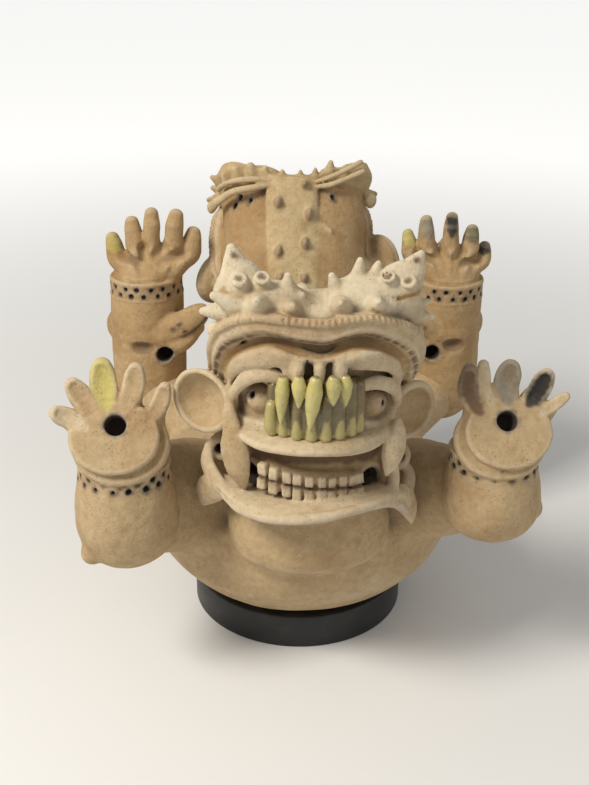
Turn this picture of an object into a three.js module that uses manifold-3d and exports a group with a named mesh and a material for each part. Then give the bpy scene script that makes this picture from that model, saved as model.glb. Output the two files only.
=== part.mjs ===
// A double-headed effigy vessel of fired clay with four raised, clawed hands, standing in a display ring.
// Millimetres, +Z up, origin on the table under the middle of the ring. The front head looks along -Y,
// and the rear head and the rear pair of limbs are the front ones turned half round.
import * as THREE from "three";
import { mergeVertices } from "three/addons/utils/BufferGeometryUtils.js";
import Module from "manifold-3d";

const wasm = await Module();
wasm.setup();

// Clay and fits
const WALL = 7;
const GAP = 0.3;
const LAP = 6;

// Edges shorter than this may close up where forms are joined or cut
const SMOOTHING = 0.12;

// Facets around the larger round forms
const ROUND = { ring: 24, bowl: 20, head: 16, limb: 10, spool: 10, inside: 6 };

// Display ring
const RING = { inner: 81, outer: 92, height: 30, edge: 1.5 };

// Bowl, with its mouth between the heads
const BOWL = { radius: 132, bottom: 9, widest: 98, shoulder: 138, top: 150 };
const MOUTH = { radius: 29, rim: 8, height: 160 };

// Heads: cross-sections of the tube from its foot up; above the eyes the back leans over the face.
// Each gives the height, the distance of the middle from the vessel's axis and the half widths.
const HEAD = [
  { z: 166, out: 112, x: 58, y: 49 },
  { z: 222, out: 112, x: 64, y: 54 },
  { z: 262, out: 114, x: 65, y: 54 },
  { z: 318, out: 141, x: 66, y: 33 },
];

// Heights of what a head carries
const LEVEL = {
  jaw: 182, corner: 195, loop: 200, lip: 233, spool: 247, eye: 258, block: 263, brow: 300, nose: 303, band: 320,
};

// Crown: a saddle, low at its front and back, with a strap down the back of the head
const CROWN = { middle: 334, dip: 8, proud: 1.2, shoulder: 7, strap: 46, strapFoot: 244, strapThick: 4 };
const SPIKE = { radius: 7.5, length: 13 };
const BAND = { radius: 5.2, low: 7, proud: 10, notches: 20, deep: 1.3 };
const TEETH = { proud: 25, tall: 40, turn: 21 };
const GUM = { teeth: 7, turn: 36, tall: 20, proud: 10, deep: 2 };
const LIP = { turn: 38, deep: 26, thick: 8 };
const JAW_CORNER = { turn: 43, radius: 8.5 };
const SPOOL = { radius: 23, stem: 11, depth: 32, wall: 3.5, turn: 34, x: 60, out: 113 };

// Limbs: place, pot, wrist and palm of the front pair and the rear pair
const FRONT = {
  x: 137, y: 127, bottom: 102, belly: 41, bellyAt: 142, wrist: 188, eye: 146, palm: 236, palmForward: 16,
};
const REAR = {
  x: 136, y: 125, bottom: 112, belly: 37, bellyAt: 168, wrist: 248, eye: 190, palm: 283, palmForward: 2,
};
const WRIST = 33;
const CUFF = { thick: 3.6, height: 17, below: 9, flare: 1.5, hole: 2, holes: 5 };
const PALM = { radius: 36, lower: 39, upper: 19, thick: 7, hole: 7.6, tilt: 38 };
const ARM = { radius: 33, height: 136 };
const EYE_HOLE = { radius: 7, inward: 24 };

const CLAY = material(0xd2bf9f, 0.86);
const CREAM = material(0xe0d6c0, 0.88);
const TAN = material(0xc4a174, 0.86);
const GLAZE = material(0xbcb676, 0.32);
const OCHRE = material(0xc8be72, 0.7);
const CHARRED = material(0x3a362f, 0.8);
const BLACK = material(0x141414, 0.7);

function material(color, roughness) {
  return new THREE.MeshStandardMaterial({ color, roughness, metalness: 0 });
}

// Solids

function solid(geometry) {
  const bare = geometry.clone();
  bare.deleteAttribute("normal");
  bare.deleteAttribute("uv");
  const merged = mergeVertices(bare, 1e-4);
  return new wasm.Manifold(
    new wasm.Mesh({
      numProp: 3,
      vertProperties: new Float32Array(merged.attributes.position.array),
      triVerts: new Uint32Array(merged.index.array),
      tolerance: SMOOTHING,
    }),
  );
}

function piece(name, body, look) {
  const made = body.simplify(SMOOTHING).getMesh();
  const geometry = new THREE.BufferGeometry();
  geometry.setAttribute("position", new THREE.BufferAttribute(made.vertProperties, 3));
  geometry.setIndex(new THREE.BufferAttribute(made.triVerts, 1));
  const flat = geometry.toNonIndexed();
  flat.computeVertexNormals();
  const mesh = new THREE.Mesh(flat, look);
  mesh.name = name;
  return mesh;
}

function moved(body, matrix) {
  return body.transform(matrix.elements);
}

const join = (...bodies) => bodies.reduce((all, body) => all.add(body));
const cut = (body, ...tools) => tools.reduce((left, tool) => left.subtract(tool), body);
const rad = THREE.MathUtils.degToRad;
const vec = (x, y, z) => new THREE.Vector3(x, y, z);

// Closed skin over rings of equally many points, with a fan over each end
function loft(rings) {
  const sides = rings[0].length;
  const points = rings.flat();
  const middle = (ring) => ring.reduce((sum, p) => sum.add(p), vec(0, 0, 0)).divideScalar(sides);
  points.push(middle(rings[0]), middle(rings.at(-1)));
  const first = points.length - 2;
  const index = [];
  for (let i = 0; i < sides; i++) {
    const next = (i + 1) % sides;
    index.push(first, next, i);
    for (let r = 0; r < rings.length - 1; r++) {
      const low = r * sides;
      const high = low + sides;
      index.push(low + i, low + next, high + next, low + i, high + next, high + i);
    }
    const last = (rings.length - 1) * sides;
    index.push(first + 1, last + i, last + next);
  }
  const geometry = new THREE.BufferGeometry().setFromPoints(points);
  geometry.setIndex(index);
  return solid(geometry);
}

// Upright tube form: each level gives the centre, the height and the two half widths
function upright(levels, sides) {
  return loft(
    levels.map(({ x = 0, y = 0, z, a, b = a }) =>
      Array.from({ length: sides }, (_, i) => {
        const turn = (i / sides) * 2 * Math.PI;
        return vec(x + a * Math.cos(turn), y + b * Math.sin(turn), z);
      }),
    ),
  );
}

const column = (radius, low, high) => upright([low, high].map((z) => ({ z, a: radius })), 2 * ROUND.inside);

// Form swept along a smooth line: wide and thick are half sizes as functions of the way along, 0 to 1.
// The wide side lies across the line, square to the face direction.
function sweep(line, face, wide, thick, steps, sides = 6) {
  const curve = new THREE.CatmullRomCurve3(line);
  const rings = [];
  for (let s = 0; s <= steps; s++) {
    const t = s / steps;
    const along = curve.getTangentAt(t);
    const across = new THREE.Vector3().crossVectors(along, face).normalize();
    const out = new THREE.Vector3().crossVectors(across, along);
    const middle = curve.getPointAt(t);
    rings.push(
      Array.from({ length: sides }, (_, i) => {
        const turn = (i / sides) * 2 * Math.PI;
        return middle
          .clone()
          .addScaledVector(across, wide(t) * Math.cos(turn))
          .addScaledVector(out, -thick(t) * Math.sin(turn));
      }),
    );
  }
  return loft(rings);
}

// Half size that swells between two ends
const swell = (end, middle) => (t) => end + (middle - end) * Math.sin(Math.PI * t);
const taper = (start, end) => (t) => start + (end - start) * t;
const steady = (size) => () => size;

function cone(base, direction, radius, length) {
  const tip = base.clone().addScaledVector(direction, length);
  const root = base.clone().addScaledVector(direction, -2);
  const face = Math.abs(direction.z) > 0.8 ? vec(1, 0, 0) : vec(0, 0, 1);
  return sweep([root, tip], face, taper(radius, 0.8), taper(radius, 0.8), 1, 5);
}

function rod(from, to, radius, sides = 8) {
  const direction = to.clone().sub(from).normalize();
  const face = Math.abs(direction.z) > 0.8 ? vec(1, 0, 0) : vec(0, 0, 1);
  return sweep([from, to], face, steady(radius), steady(radius), 1, sides);
}

// Ring and bowl

function supportRing() {
  const { inner, outer, height, edge } = RING;
  const outline = [
    [inner, 0], [outer, 0], [outer, height - edge], [outer - edge, height],
    [inner + edge, height], [inner, height - edge], [inner, 0],
  ];
  const turned = new THREE.LatheGeometry(outline.map(([r, z]) => new THREE.Vector2(r, z)), ROUND.ring);
  return solid(turned.rotateX(Math.PI / 2));
}

// Round-bottomed bowl with a closed shoulder. The seat is where it lies on the ring's inner edge.
function bowlForm(shrink) {
  const seat = RING.inner + RING.edge;
  const { radius, bottom, widest, shoulder, top } = BOWL;
  const seatHeight = RING.height + GAP;
  const levels = [
    [0.5 * seat, bottom], [seat, seatHeight + 0.5], [seat + 0.5 * (radius - seat), seatHeight + 16],
    [radius, widest - 12], [0.97 * radius, shoulder - 14], [0.78 * radius, shoulder], [0.2 * radius, top],
  ];
  const middle = (bottom + top) / 2;
  const squash = (top - bottom - 2 * shrink) / (top - bottom);
  return upright(
    levels.map(([r, z]) => ({ z: middle + (z - middle) * squash, a: Math.max(r - shrink, 3) })),
    shrink ? 2 * ROUND.inside : ROUND.bowl,
  );
}

// Neck under a head: a bulb that swells from the bowl's shoulder and closes to the head's foot
function neckForm(shrink, top) {
  const foot = HEAD[0];
  const levels = [
    { z: foot.z - 66 + shrink, share: 0.55 },
    { z: foot.z - 46, share: 1.02 },
    { z: foot.z - 24, share: 1.07 },
    { z: top, share: 1 },
  ];
  return upright(
    levels.map(({ z, share }) => ({ y: -foot.out, z, a: share * foot.x - shrink, b: share * foot.y - shrink })),
    shrink ? ROUND.limb : ROUND.head,
  );
}

// Arm from the bowl's shoulder to a limb
function armForm(limb, shrink) {
  const reach = 0.42;
  const start = vec(limb.x * reach, -limb.y * reach, BOWL.widest + 8);
  const end = vec(limb.x, -limb.y, ARM.height);
  const high = ARM.radius + 0.32 * (limb.bellyAt - FRONT.bellyAt) - shrink;
  const round = ARM.radius - shrink;
  return sweep([start, end], vec(0, 0, 1), steady(round), steady(high), 1, ROUND.inside);
}

const place = {
  front_right: new THREE.Matrix4(),
  front_left: new THREE.Matrix4().makeScale(-1, 1, 1),
  rear_left: new THREE.Matrix4().makeRotationZ(Math.PI),
  rear_right: new THREE.Matrix4().makeScale(1, -1, 1),
};
const limbOf = (corner) => (corner.startsWith("front") ? FRONT : REAR);
const corners = Object.keys(place);
const ends = { front: 0, rear: Math.PI };

function body() {
  const turns = Object.values(ends).map((turn) => new THREE.Matrix4().makeRotationZ(turn));
  const outer = join(
    bowlForm(0),
    column(MOUTH.radius + MOUTH.rim, BOWL.shoulder, MOUTH.height),
    ...turns.map((turn) => moved(neckForm(0, HEAD[0].z), turn)),
    ...corners.map((corner) => moved(armForm(limbOf(corner), 0), place[corner])),
  );
  const inner = join(
    bowlForm(WALL),
    column(MOUTH.radius, BOWL.widest, MOUTH.height + LAP),
    ...turns.map((turn) => moved(neckForm(WALL, HEAD[0].z + LAP), turn)),
    ...corners.map((corner) => moved(armForm(limbOf(corner), WALL), place[corner])),
  );
  const rooms = corners.flatMap((corner) => {
    const limb = limbOf(corner);
    return [limbForm(limb, GAP), reptileForm(limb, GAP)].map((room) => moved(room, place[corner]));
  });
  return cut(outer, inner, ...rooms);
}

// Heads

// Cross-section of the head at a height
function headAt(height) {
  const above = HEAD.findIndex(({ z }) => z > height);
  if (above === 0) return HEAD[0];
  if (above < 0) return HEAD.at(-1);
  const [low, high] = [HEAD[above - 1], HEAD[above]];
  const share = (height - low.z) / (high.z - low.z);
  const between = (key) => low[key] + share * (high[key] - low[key]);
  return { out: between("out"), x: between("x"), y: between("y") };
}

// Point on the head's side: 0 degrees is the front, positive to its +X side
function onHead(degrees, height, proud = 0) {
  const turn = rad(degrees);
  const { out, x, y } = headAt(height);
  return vec((x + proud) * Math.sin(turn), -out - (y + proud) * Math.cos(turn), height);
}

// Tube of a head, grown by a clearance or shrunk by a wall, and run on past its ends
function headForm(grow, past = 0) {
  const levels = HEAD.map(({ z, out, x, y }) => ({ z, y: -out, a: x + grow, b: y + grow }));
  levels[0].z -= past;
  levels.at(-1).z += past;
  return upright(levels, ROUND.head);
}

const outward = (degrees, rise = 0) =>
  vec(Math.sin(rad(degrees)), -Math.cos(rad(degrees)), rise).normalize();

const sides = [-1, 1];
const bothSides = (line) => [...line.map(([turn, rise]) => [-turn, rise]), ...line.slice(0, -1).reverse()];

// Brow strap and bulging eye under its lid
function eyeForm(side) {
  const arc = [[60, -24], [57, -12], [46, -1], [32, 3], [15, -1]];
  const brow = sweep(
    arc.map(([turn, rise]) => onHead(side * turn, LEVEL.brow + rise, 2)),
    outward(side * 40), swell(3, 5.5), swell(2.5, 5), 4, 5,
  );
  const lidArc = [[56, -4], [50, 9], [40, 17], [27, 16]];
  const lid = sweep(
    lidArc.map(([turn, rise]) => onHead(side * turn, LEVEL.eye + rise, 1)),
    outward(side * 40), steady(3.4), swell(2.5, 4.5), 3, 5,
  );
  const ball = new THREE.SphereGeometry(11, 6, 4);
  const { x, y, z } = onHead(side * 41, LEVEL.eye, -5);
  return join(brow, lid, solid(ball.translate(x, y, z)));
}

// Nose of three tapering lobes with a nostril slot between each two
function nose() {
  const lobes = [-13, 0, 13].map((turn) =>
    sweep(
      [onHead(turn, LEVEL.nose, 0), onHead(turn * 0.95, LEVEL.nose - 9, 9)],
      outward(turn), taper(3.2, 4.6), taper(4, 6), 1,
    ),
  );
  return join(...lobes);
}

// Lug with a hole beside the jaw
function sideLoop(side, grow) {
  const line = [[74, 19], [86, 9], [86, -9], [74, -19]];
  return sweep(
    line.map(([turn, rise], i) => onHead(side * turn, LEVEL.loop + rise, i % 3 ? 9 : -1)),
    outward(side * 80), steady(3.6 + grow), steady(3.6 + grow), 3, 5,
  );
}

function headShell() {
  const features = sides.flatMap((side) => [eyeForm(side), sideLoop(side, 0)]);
  const slot = sweep(
    [-JAW_CORNER.turn, 0, JAW_CORNER.turn].map((turn) => onHead(turn, LEVEL.corner + 12, -WALL / 2)),
    vec(0, 0, 1), steady(WALL), steady(8), 4, 5,
  );
  const corners = sides.map((side) => {
    const { turn, radius } = JAW_CORNER;
    const [inside, outside] = [-2 * WALL, WALL].map((proud) => onHead(side * turn, LEVEL.corner, proud));
    return rod(inside, outside, radius, 8);
  });
  return cut(join(headForm(0), ...features, nose()), headForm(-WALL, LAP), slot, ...corners);
}

// Band of two rolls over the brow, in a double arch; the upper roll is notched like teeth
function band() {
  const { radius, low, proud, notches, deep } = BAND;
  const line = bothSides([[92, -40], [77, -24], [60, -9], [40, 1], [22, 3.5], [0, 0]]);
  const route = new THREE.CatmullRomCurve3(line.map(([turn, rise]) => vec(turn, rise, 0)));
  const rings = [...Array(2 * notches + 1).keys()].map((i) => {
    const { x: turn, y: rise } = route.getPointAt(i / (2 * notches));
    const notch = i % 2 ? deep : 0;
    const end = Math.min(1, 0.35 + 0.2 * Math.min(i, 2 * notches - i));
    return [
      [-3, radius - notch], [proud - 2 * notch, 0.7 * radius - notch], [proud - notch, -0.4 * radius],
      [0.55 * proud, -radius], [0.85 * proud, -radius - 0.5 * low], [0.4 * proud, -radius - low],
      [-3, -radius - low],
    ].map(([out, up]) => onHead(turn, LEVEL.band + rise + end * up, end * out));
  });
  return cut(loft(rings), headForm(GAP), capForm(GAP), crownSpikes(GAP));
}

// Point of the crown's saddle: share runs from its middle, 0, to its rim, 1
function onCrown(turn, share, lift = 0) {
  const { middle, dip, proud } = CROWN;
  const top = HEAD.at(-1);
  const point = vec(0, -top.out, middle).lerp(onHead(turn, top.z, proud), share);
  return point.setZ(middle - dip * Math.cos(2 * rad(turn)) * share ** 2 + lift);
}

// Saddle, alone or grown by a clearance
function capForm(grow) {
  const { proud, shoulder } = CROWN;
  const foot = HEAD.at(-1).z + GAP - grow;
  const turns = Array.from({ length: ROUND.head }, (_, i) => (i / ROUND.head) * 360);
  const ring = (share, lift) => turns.map((turn) => onCrown(turn, share + grow / 30, lift));
  return loft([
    turns.map((turn) => onHead(turn, foot, proud + grow).setZ(foot)),
    ring(1, -shoulder), ring(0.94, grow), ring(0.5, grow),
  ]);
}

// Blunt spikes: two rows along the front, small ones at the sides and a row down the strap
function crownSpikes(grow) {
  const front = [[-30, 0.9], [-12, 0.88], [11, 0.88], [32, 0.9]];
  const back = [[-35, 0.3], [28, 0.25], [64, 0.35]];
  const low = [-98, -84, 84, 98];
  const strap = [[170, 312], [189, 303], [171, 290], [188, 280], [175, 266]];
  const { radius, length } = SPIKE;
  const spike = (base, way, less) => cone(base, way, radius - less + grow, length - less + grow);
  return join(
    ...front.map(([turn, share]) => spike(onCrown(turn, share), outward(turn, 1.1), 0)),
    ...back.map(([turn, share]) => spike(onCrown(turn, share), vec(0, 0, 1), 1)),
    ...low.map((turn) => spike(onCrown(turn, 0.98, -4), outward(turn, 0.5), 2.5)),
    ...strap.map(([turn, z]) => spike(onHead(turn, z, 3), outward(turn, 0.5), 2.5)),
  );
}

function crown() {
  const { middle, dip, strap, strapFoot, strapThick } = CROWN;
  const top = HEAD.at(-1);
  const half = THREE.MathUtils.radToDeg(Math.asin(strap / 2 / top.x));
  const across = [-1, -0.33, 0.33, 1].map((share) => 180 + half * share);
  const slab = (z, inner) => [
    ...across.map((turn) => onHead(turn, z, strapThick)), ...across.map((turn) => onHead(turn, z, inner)).reverse(),
  ];
  const skin = loft([
    slab(strapFoot, 0), slab(HEAD.at(-2).z, 0), slab(top.z + GAP, 0), slab(top.z + GAP, -LAP),
    slab(middle - dip - 2, -LAP),
  ]);
  const lips = sides.flatMap((side) =>
    [0, -9].map((drop) => {
      const line = [[150, -4, -1], [126, -3, 1], [100, -11, 8]];
      return sweep(
        line.map(([turn, lift, proud]) => onHead(side * turn, top.z, proud).setZ(middle + drop + lift)),
        vec(0, 0, 1), steady(4), swell(2.4, 3.4), 2, 4,
      );
    }),
  );
  const hollow = upright(
    [-LAP, WALL].map((lift) => ({ y: -top.out, z: top.z + lift, a: top.x - WALL, b: top.y - WALL })),
    ROUND.head,
  );
  return cut(join(capForm(0), skin, crownSpikes(0), ...lips), hollow, headForm(GAP));
}

// Small reptile head on the crown, snout up and outward, with two ring eyes
function crestHead(side) {
  const foot = onCrown(side * 60, 0.75);
  const line = [[-2, 0, -3], [4, 2, 11], [13, 12, 24]];
  const neck = sweep(
    line.map(([out, back, up]) => vec(side * out, back, up).add(foot)),
    vec(0, -1, 0), taper(15, 4), taper(9, 4), 3, 6,
  );
  const gaze = vec(0, -1, 0.75).normalize();
  const eyes = sides.map((lean) => {
    const at = (way) => vec(side * 4 + lean * 8, -4, 10).add(foot).addScaledVector(gaze, way);
    return { ring: rod(at(-7), at(4), 5.5, 6), pit: rod(at(1), at(6), 2.4, 4) };
  });
  return cut(
    join(neck, ...eyes.map(({ ring }) => ring)),
    ...eyes.map(({ pit }) => pit), capForm(GAP), crownSpikes(GAP),
  );
}

// Ear spool: a flared, open cup on a stem set into the side of the head
function spoolForm(side, grow) {
  const { radius, stem, depth, wall, turn, x, out } = SPOOL;
  const outside = [
    [0, -grow], [stem + grow, -grow], [stem + 2 + grow, 12], [radius - 4 + grow, depth - 8],
    [radius + grow, depth - 2], [radius - 1.5 + grow, depth + grow],
  ];
  const inside = grow
    ? [[0, depth + grow]]
    : [[radius - wall, depth - 1], [radius - wall - 4, depth - 7], [stem - 1, depth - 12], [0, depth - 12]];
  const outline = [...outside, ...inside].map(([r, z]) => new THREE.Vector2(r, z));
  const cup = new THREE.LatheGeometry(outline, ROUND.spool).rotateX(Math.PI).rotateZ(side * rad(turn));
  return solid(cup.translate(side * x, -out, LEVEL.spool));
}

const spool = (side) => cut(spoolForm(side, 0), headForm(GAP), sideLoop(side, GAP));

// Glazed block: the section at each step of its arch is a fang, a gap or a blunt tooth
function toothForm(grow) {
  const { proud, tall, turn } = TEETH;
  const half = tall / 2 + grow;
  const steps = [-1, -0.5, 0, 0.5, 1].map((share) => share * (turn + grow));
  return loft(
    steps.map((degrees) =>
      [[-4, half], [proud + 3 + grow, half], [proud + 3 + grow, -half], [-4, -half]].map(([out, up]) =>
        onHead(degrees, LEVEL.block, out).add(vec(0, 0, up)),
      ),
    ),
  );
}

function toothBlock() {
  const { proud, tall, turn } = TEETH;
  const fangs = [-15, -8, -1, 5.5, 11];
  const tips = [-10, 6, -9, 10, 5];
  const gaps = fangs.map((at, i) => (i ? (at + fangs[i - 1]) / 2 : at - 3.5));
  const steps = [-turn, ...fangs.flatMap((at, i) => [gaps[i], at]), 14.5, 18, turn];
  const rings = steps.map((degrees) => {
    const tip = fangs.includes(degrees) ? tips[fangs.indexOf(degrees)] : tall / 2 - 9;
    const bulge = fangs.includes(degrees) ? 3 : 0;
    const blunt = fangs.includes(degrees) ? 1 : 0;
    return [
      [-4, tall / 2 - 4], [proud - 6, tall / 2], [proud - 1 + bulge, tall / 2 - 5], [proud + bulge, tip + 3],
      [proud - 2, tip], [proud - 3 + blunt, -tall / 2 + 3], [proud - 5, -tall / 2], [-4, -tall / 2],
    ].map(([out, up]) => onHead(degrees, LEVEL.block, out).add(vec(0, 0, up)));
  });
  return cut(loft(rings), headForm(GAP), nose());
}

// Upper lip: a shelf under the teeth
function upperJawForm(grow) {
  const { turn, deep, thick } = LIP;
  return sweep(
    [-1, -0.5, 0, 0.5, 1].map((share) => onHead(share * turn, LEVEL.lip + (share ? 1 : 0), deep / 2 - 1)),
    vec(0, 0, 1), swell(0.2 * deep + grow, 0.56 * deep + grow), steady(thick / 2 + grow), 6,
  );
}

const upperJaw = () => cut(upperJawForm(0), headForm(GAP));

// Lower jaw: a crescent plate with hooked tips under a gum with two rows of small square teeth
function plateForm(grow) {
  const { jaw } = LEVEL;
  const line = [
    [-94, -16, 10], [-76, -5, 13], [-42, 2, 14], [0, -1, 14], [42, 2, 14], [72, -8, 13], [92, -32, 10],
  ];
  return sweep(
    line.map(([turn, rise, proud]) => onHead(turn, jaw + rise, proud)),
    vec(0, 0, 1), swell(3 + grow, 17 + grow), swell(2.2 + grow, 4.6 + grow), 10,
  );
}

function gumForm(grow) {
  const { turn, tall, proud } = GUM;
  return sweep(
    [-1, -0.5, 0, 0.5, 1].map((share) => onHead(share * turn, LEVEL.jaw + 2 + tall / 2, 2)),
    vec(0, 0, 1), steady(proud + grow), steady(tall / 2 + 1 + grow), 4, 6,
  );
}

function lowerJaw() {
  const { teeth, turn, tall, proud, deep } = GUM;
  const rings = [...Array(2 * teeth + 1).keys()].map((i) => {
    const out = proud - (i % 2 ? 0 : deep);
    return [
      [-4, tall], [out - 2, tall], [out, tall - 2], [out, tall / 2 + 1], [out - deep, tall / 2],
      [out + 1, tall / 2 - 1], [out + 1, 0], [-4, 0],
    ].map(([way, up]) => onHead(turn * (i / teeth - 1), LEVEL.jaw + 2, way).add(vec(0, 0, up)));
  });
  return cut(join(plateForm(0), loft(rings)), headForm(GAP));
}

// Tusks beside the mouth: a long blade on one side and a short leaf on the other
function tusk(side) {
  const { lip, corner } = LEVEL;
  const line =
    side < 0
      ? [[-50, lip + 30, 7], [-49, lip, 15], [-46, corner + 8, 15], [-42, corner - 4, 15]]
      : [[52, lip + 12, 10], [45, lip, 16], [40, lip - 14, 17], [41, corner + 6, 16]];
  const size = (t) => 2 + 6 * Math.sin(Math.PI * (0.2 + 0.75 * t));
  const thick = (t) => 1.6 + 2.4 * Math.sin(Math.PI * (0.3 + 0.65 * t));
  const shape = sweep(line.map(([turn, z, proud]) => onHead(turn, z, proud)), outward(side * 50), size, thick, 5);
  return cut(
    shape,
    headForm(GAP), upperJawForm(GAP), plateForm(GAP), gumForm(GAP), toothForm(GAP), spoolForm(side, GAP),
    eyeForm(side),
  );
}

// Limbs

function limbLevels(limb, grow) {
  const { bottom, belly, bellyAt, wrist } = limb;
  return [
    { z: bottom - grow, a: 10 + grow }, { z: bottom + 6, a: 0.62 * belly + grow },
    { z: bottom + 17, a: 0.88 * belly + grow }, { z: bellyAt, a: belly + grow },
    { z: wrist - 18, a: 0.5 * (belly + WRIST) + grow }, { z: wrist, a: WRIST + grow },
  ].map((level) => ({ ...level, x: limb.x, y: -limb.y }));
}

const limbForm = (limb, grow) => upright(limbLevels(limb, grow), ROUND.limb);

// Each limb is itself a reptile head: snout towards the middle, a brow and a round hole for its eye
function reptileForm({ x, y, eye, belly }, grow) {
  const middle = vec(x, -y, eye);
  const gaze = outward(180 + EYE_HOLE.inward);
  const arc = [[-58, 6], [-20, 15], [12, 14]].map(([turn, rise]) =>
    middle.clone().addScaledVector(outward(180 + EYE_HOLE.inward + turn), belly - 2).setZ(eye + rise),
  );
  const brow = sweep(arc, gaze, swell(2 + grow, 4 + grow), swell(2 + grow, 5 + grow), 4, 5);
  const line = [
    vec(x - 0.6 * belly, -y + 3, eye + 12), vec(x - belly - 8, -y + 4, eye + 26), vec(x - belly - 18, -y + 4, eye + 37),
  ];
  const snout = sweep(line, vec(0, 1, 0), taper(16 + grow, 8 + grow), taper(15 + grow, 9 + grow), 3, 8);
  return join(brow, snout);
}

function limbShell(limb) {
  const { x, y, wrist, eye, belly } = limb;
  const hollow = limbLevels(limb, -WALL);
  hollow.push({ ...hollow.at(-1), z: wrist + 5 });
  const middle = vec(x, -y, eye);
  const outside = middle.clone().addScaledVector(outward(180 + EYE_HOLE.inward), belly + 10);
  const jaw = plateForm(GAP);
  const features = cut(
    reptileForm(limb, 0), headForm(GAP), cuffForm(limb, GAP), jaw, moved(jaw, place.front_left),
  );
  return cut(
    join(limbForm(limb, 0), features),
    upright(hollow, ROUND.limb), armForm(limb, WALL), rod(middle, outside, EYE_HOLE.radius, 10),
  );
}

// Cuff: a thin clay bracelet with two staggered rows of punched holes
function cuffForm(limb, grow) {
  const { thick, height, below, flare } = CUFF;
  const low = limb.wrist - below;
  const inner = cuffInner(limb);
  return upright(
    [
      { z: low - grow, a: inner + thick + grow },
      { z: low + height + grow, a: inner + thick + flare + grow },
    ].map((level) => ({ ...level, x: limb.x, y: -limb.y })),
    ROUND.limb,
  );
}

// The cuff clears the limb where the limb is widest behind it
function cuffInner(limb) {
  const low = limbLevels(limb, GAP).at(-2);
  const share = CUFF.below / (limb.wrist - low.z);
  return WRIST + GAP + share * (low.a - WRIST - GAP) + GAP;
}

function cuff(limb) {
  const { thick, height, below, hole, holes } = CUFF;
  const low = limb.wrist - below;
  const inner = cuffInner(limb);
  const bore = upright(
    [low - 3, low + height + 3].map((z) => ({ z, a: inner, x: limb.x, y: -limb.y })), ROUND.limb,
  );
  const punches = [0, 1].flatMap((row) =>
    [...Array(holes).keys()].map((i) => {
      const middle = vec(limb.x, -limb.y, low + height * (0.3 + 0.4 * row));
      const direction = outward(((i + row / 2 + 0.25) / holes) * 360);
      const at = (way) => middle.clone().addScaledVector(direction, inner + way);
      return rod(at(-2), at(thick + 3), hole, 4);
    }),
  );
  return cut(cuffForm(limb, 0), bore, ...punches);
}

// Palm frame: hole in the middle, the plane leaning back by its tilt
function palmFrame(limb) {
  const centre = vec(limb.x + 2, -limb.y - limb.palmForward, limb.palm);
  const normal = vec(0, -Math.cos(rad(PALM.tilt)), Math.sin(rad(PALM.tilt)));
  const up = vec(0, Math.sin(rad(PALM.tilt)), Math.cos(rad(PALM.tilt)));
  return { centre, normal, up };
}

// Point of the palm's outline: 0 degrees is the outer side, 90 the top where the claws stand
function palmPoint(limb, degrees, inset, depth) {
  const { centre, normal, up } = palmFrame(limb);
  const turn = rad(degrees);
  const high = (Math.sin(turn) > 0 ? PALM.upper : PALM.lower) - inset;
  return centre
    .clone()
    .add(vec((PALM.radius - inset) * Math.cos(turn), 0, 0))
    .addScaledVector(up, high * Math.sin(turn))
    .addScaledVector(normal, -depth);
}

// Hand: a wrist tube that opens into an oblique palm
function handForm(limb, shrink, foot, cover) {
  const angles = Array.from({ length: ROUND.limb }, (_, i) => (i / ROUND.limb) * 360);
  const fit = WRIST - WALL - GAP - shrink;
  const wrist = (z, r) => angles.map((a) => vec(limb.x + r * Math.cos(rad(a)), -limb.y + r * Math.sin(rad(a)), z));
  const palm = angles.map((a) => palmPoint(limb, a, shrink, cover));
  const blend = (share) =>
    wrist(limb.wrist + 8, fit + 2).map((p, i) => p.lerp(palmPoint(limb, angles[i], shrink + 2, PALM.thick), share));
  const edge = angles.map((a) => palmPoint(limb, a, shrink, Math.max(PALM.thick, cover + 1)));
  return loft([wrist(foot, fit), wrist(limb.wrist + 4, fit), blend(0.5), edge, palm]);
}

function hand(limb) {
  const { centre, normal } = palmFrame(limb);
  const hole = rod(
    centre.clone().addScaledVector(normal, 4), centre.clone().addScaledVector(normal, -26), PALM.hole, 12,
  );
  const hollow = handForm(limb, WALL - 1.5, limb.wrist - LAP - 4, PALM.thick);
  return cut(handForm(limb, 0, limb.wrist - LAP, 0), hollow, hole);
}

// Claws: petals that fan from the upper rim of the palm, from the outer side inwards, and curl over it.
// Each gives where it stands on the rim and how far its tip reaches out and up from the palm's middle.
const CLAWS = [
  { base: 6, out: 47, up: 9, wide: 6 },
  { base: 40, out: 29, up: 33, wide: 7 },
  { base: 76, out: 6, up: 42, wide: 8 },
  { base: 110, out: -18, up: 41, wide: 8 },
  { base: 152, out: -38, up: 27, wide: 6.5 },
];

function claw(limb, { base, out, up, wide }) {
  const { centre, normal } = palmFrame(limb);
  const root = palmPoint(limb, base, 5, PALM.thick / 2);
  const tip = centre.clone().add(vec(out, 0, up)).setY(root.y);
  const line = [
    root,
    root.clone().lerp(tip, 0.55).addScaledVector(normal, -2),
    tip.addScaledVector(normal, 4),
  ];
  const petal = (t) => wide * Math.sqrt(1.05 - (1.45 * t - 0.5) ** 2);
  const shape = sweep(line, normal, petal, taper(4.4, 2.2), 3, 5);
  return cut(shape, handForm(limb, -GAP, limb.wrist - LAP, -GAP));
}

// Assembly

const clawLooks = {
  front_left: [CREAM, CREAM, OCHRE, CREAM, CREAM],
  front_right: [CREAM, CHARRED, CHARRED, CREAM, CREAM],
  rear_left: [OCHRE, CLAY, CLAY, CLAY, CLAY],
  rear_right: [CHARRED, OCHRE, CHARRED, TAN, CREAM],
};

const vessel = new THREE.Group();
vessel.add(piece("body", body(), CLAY));

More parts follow.
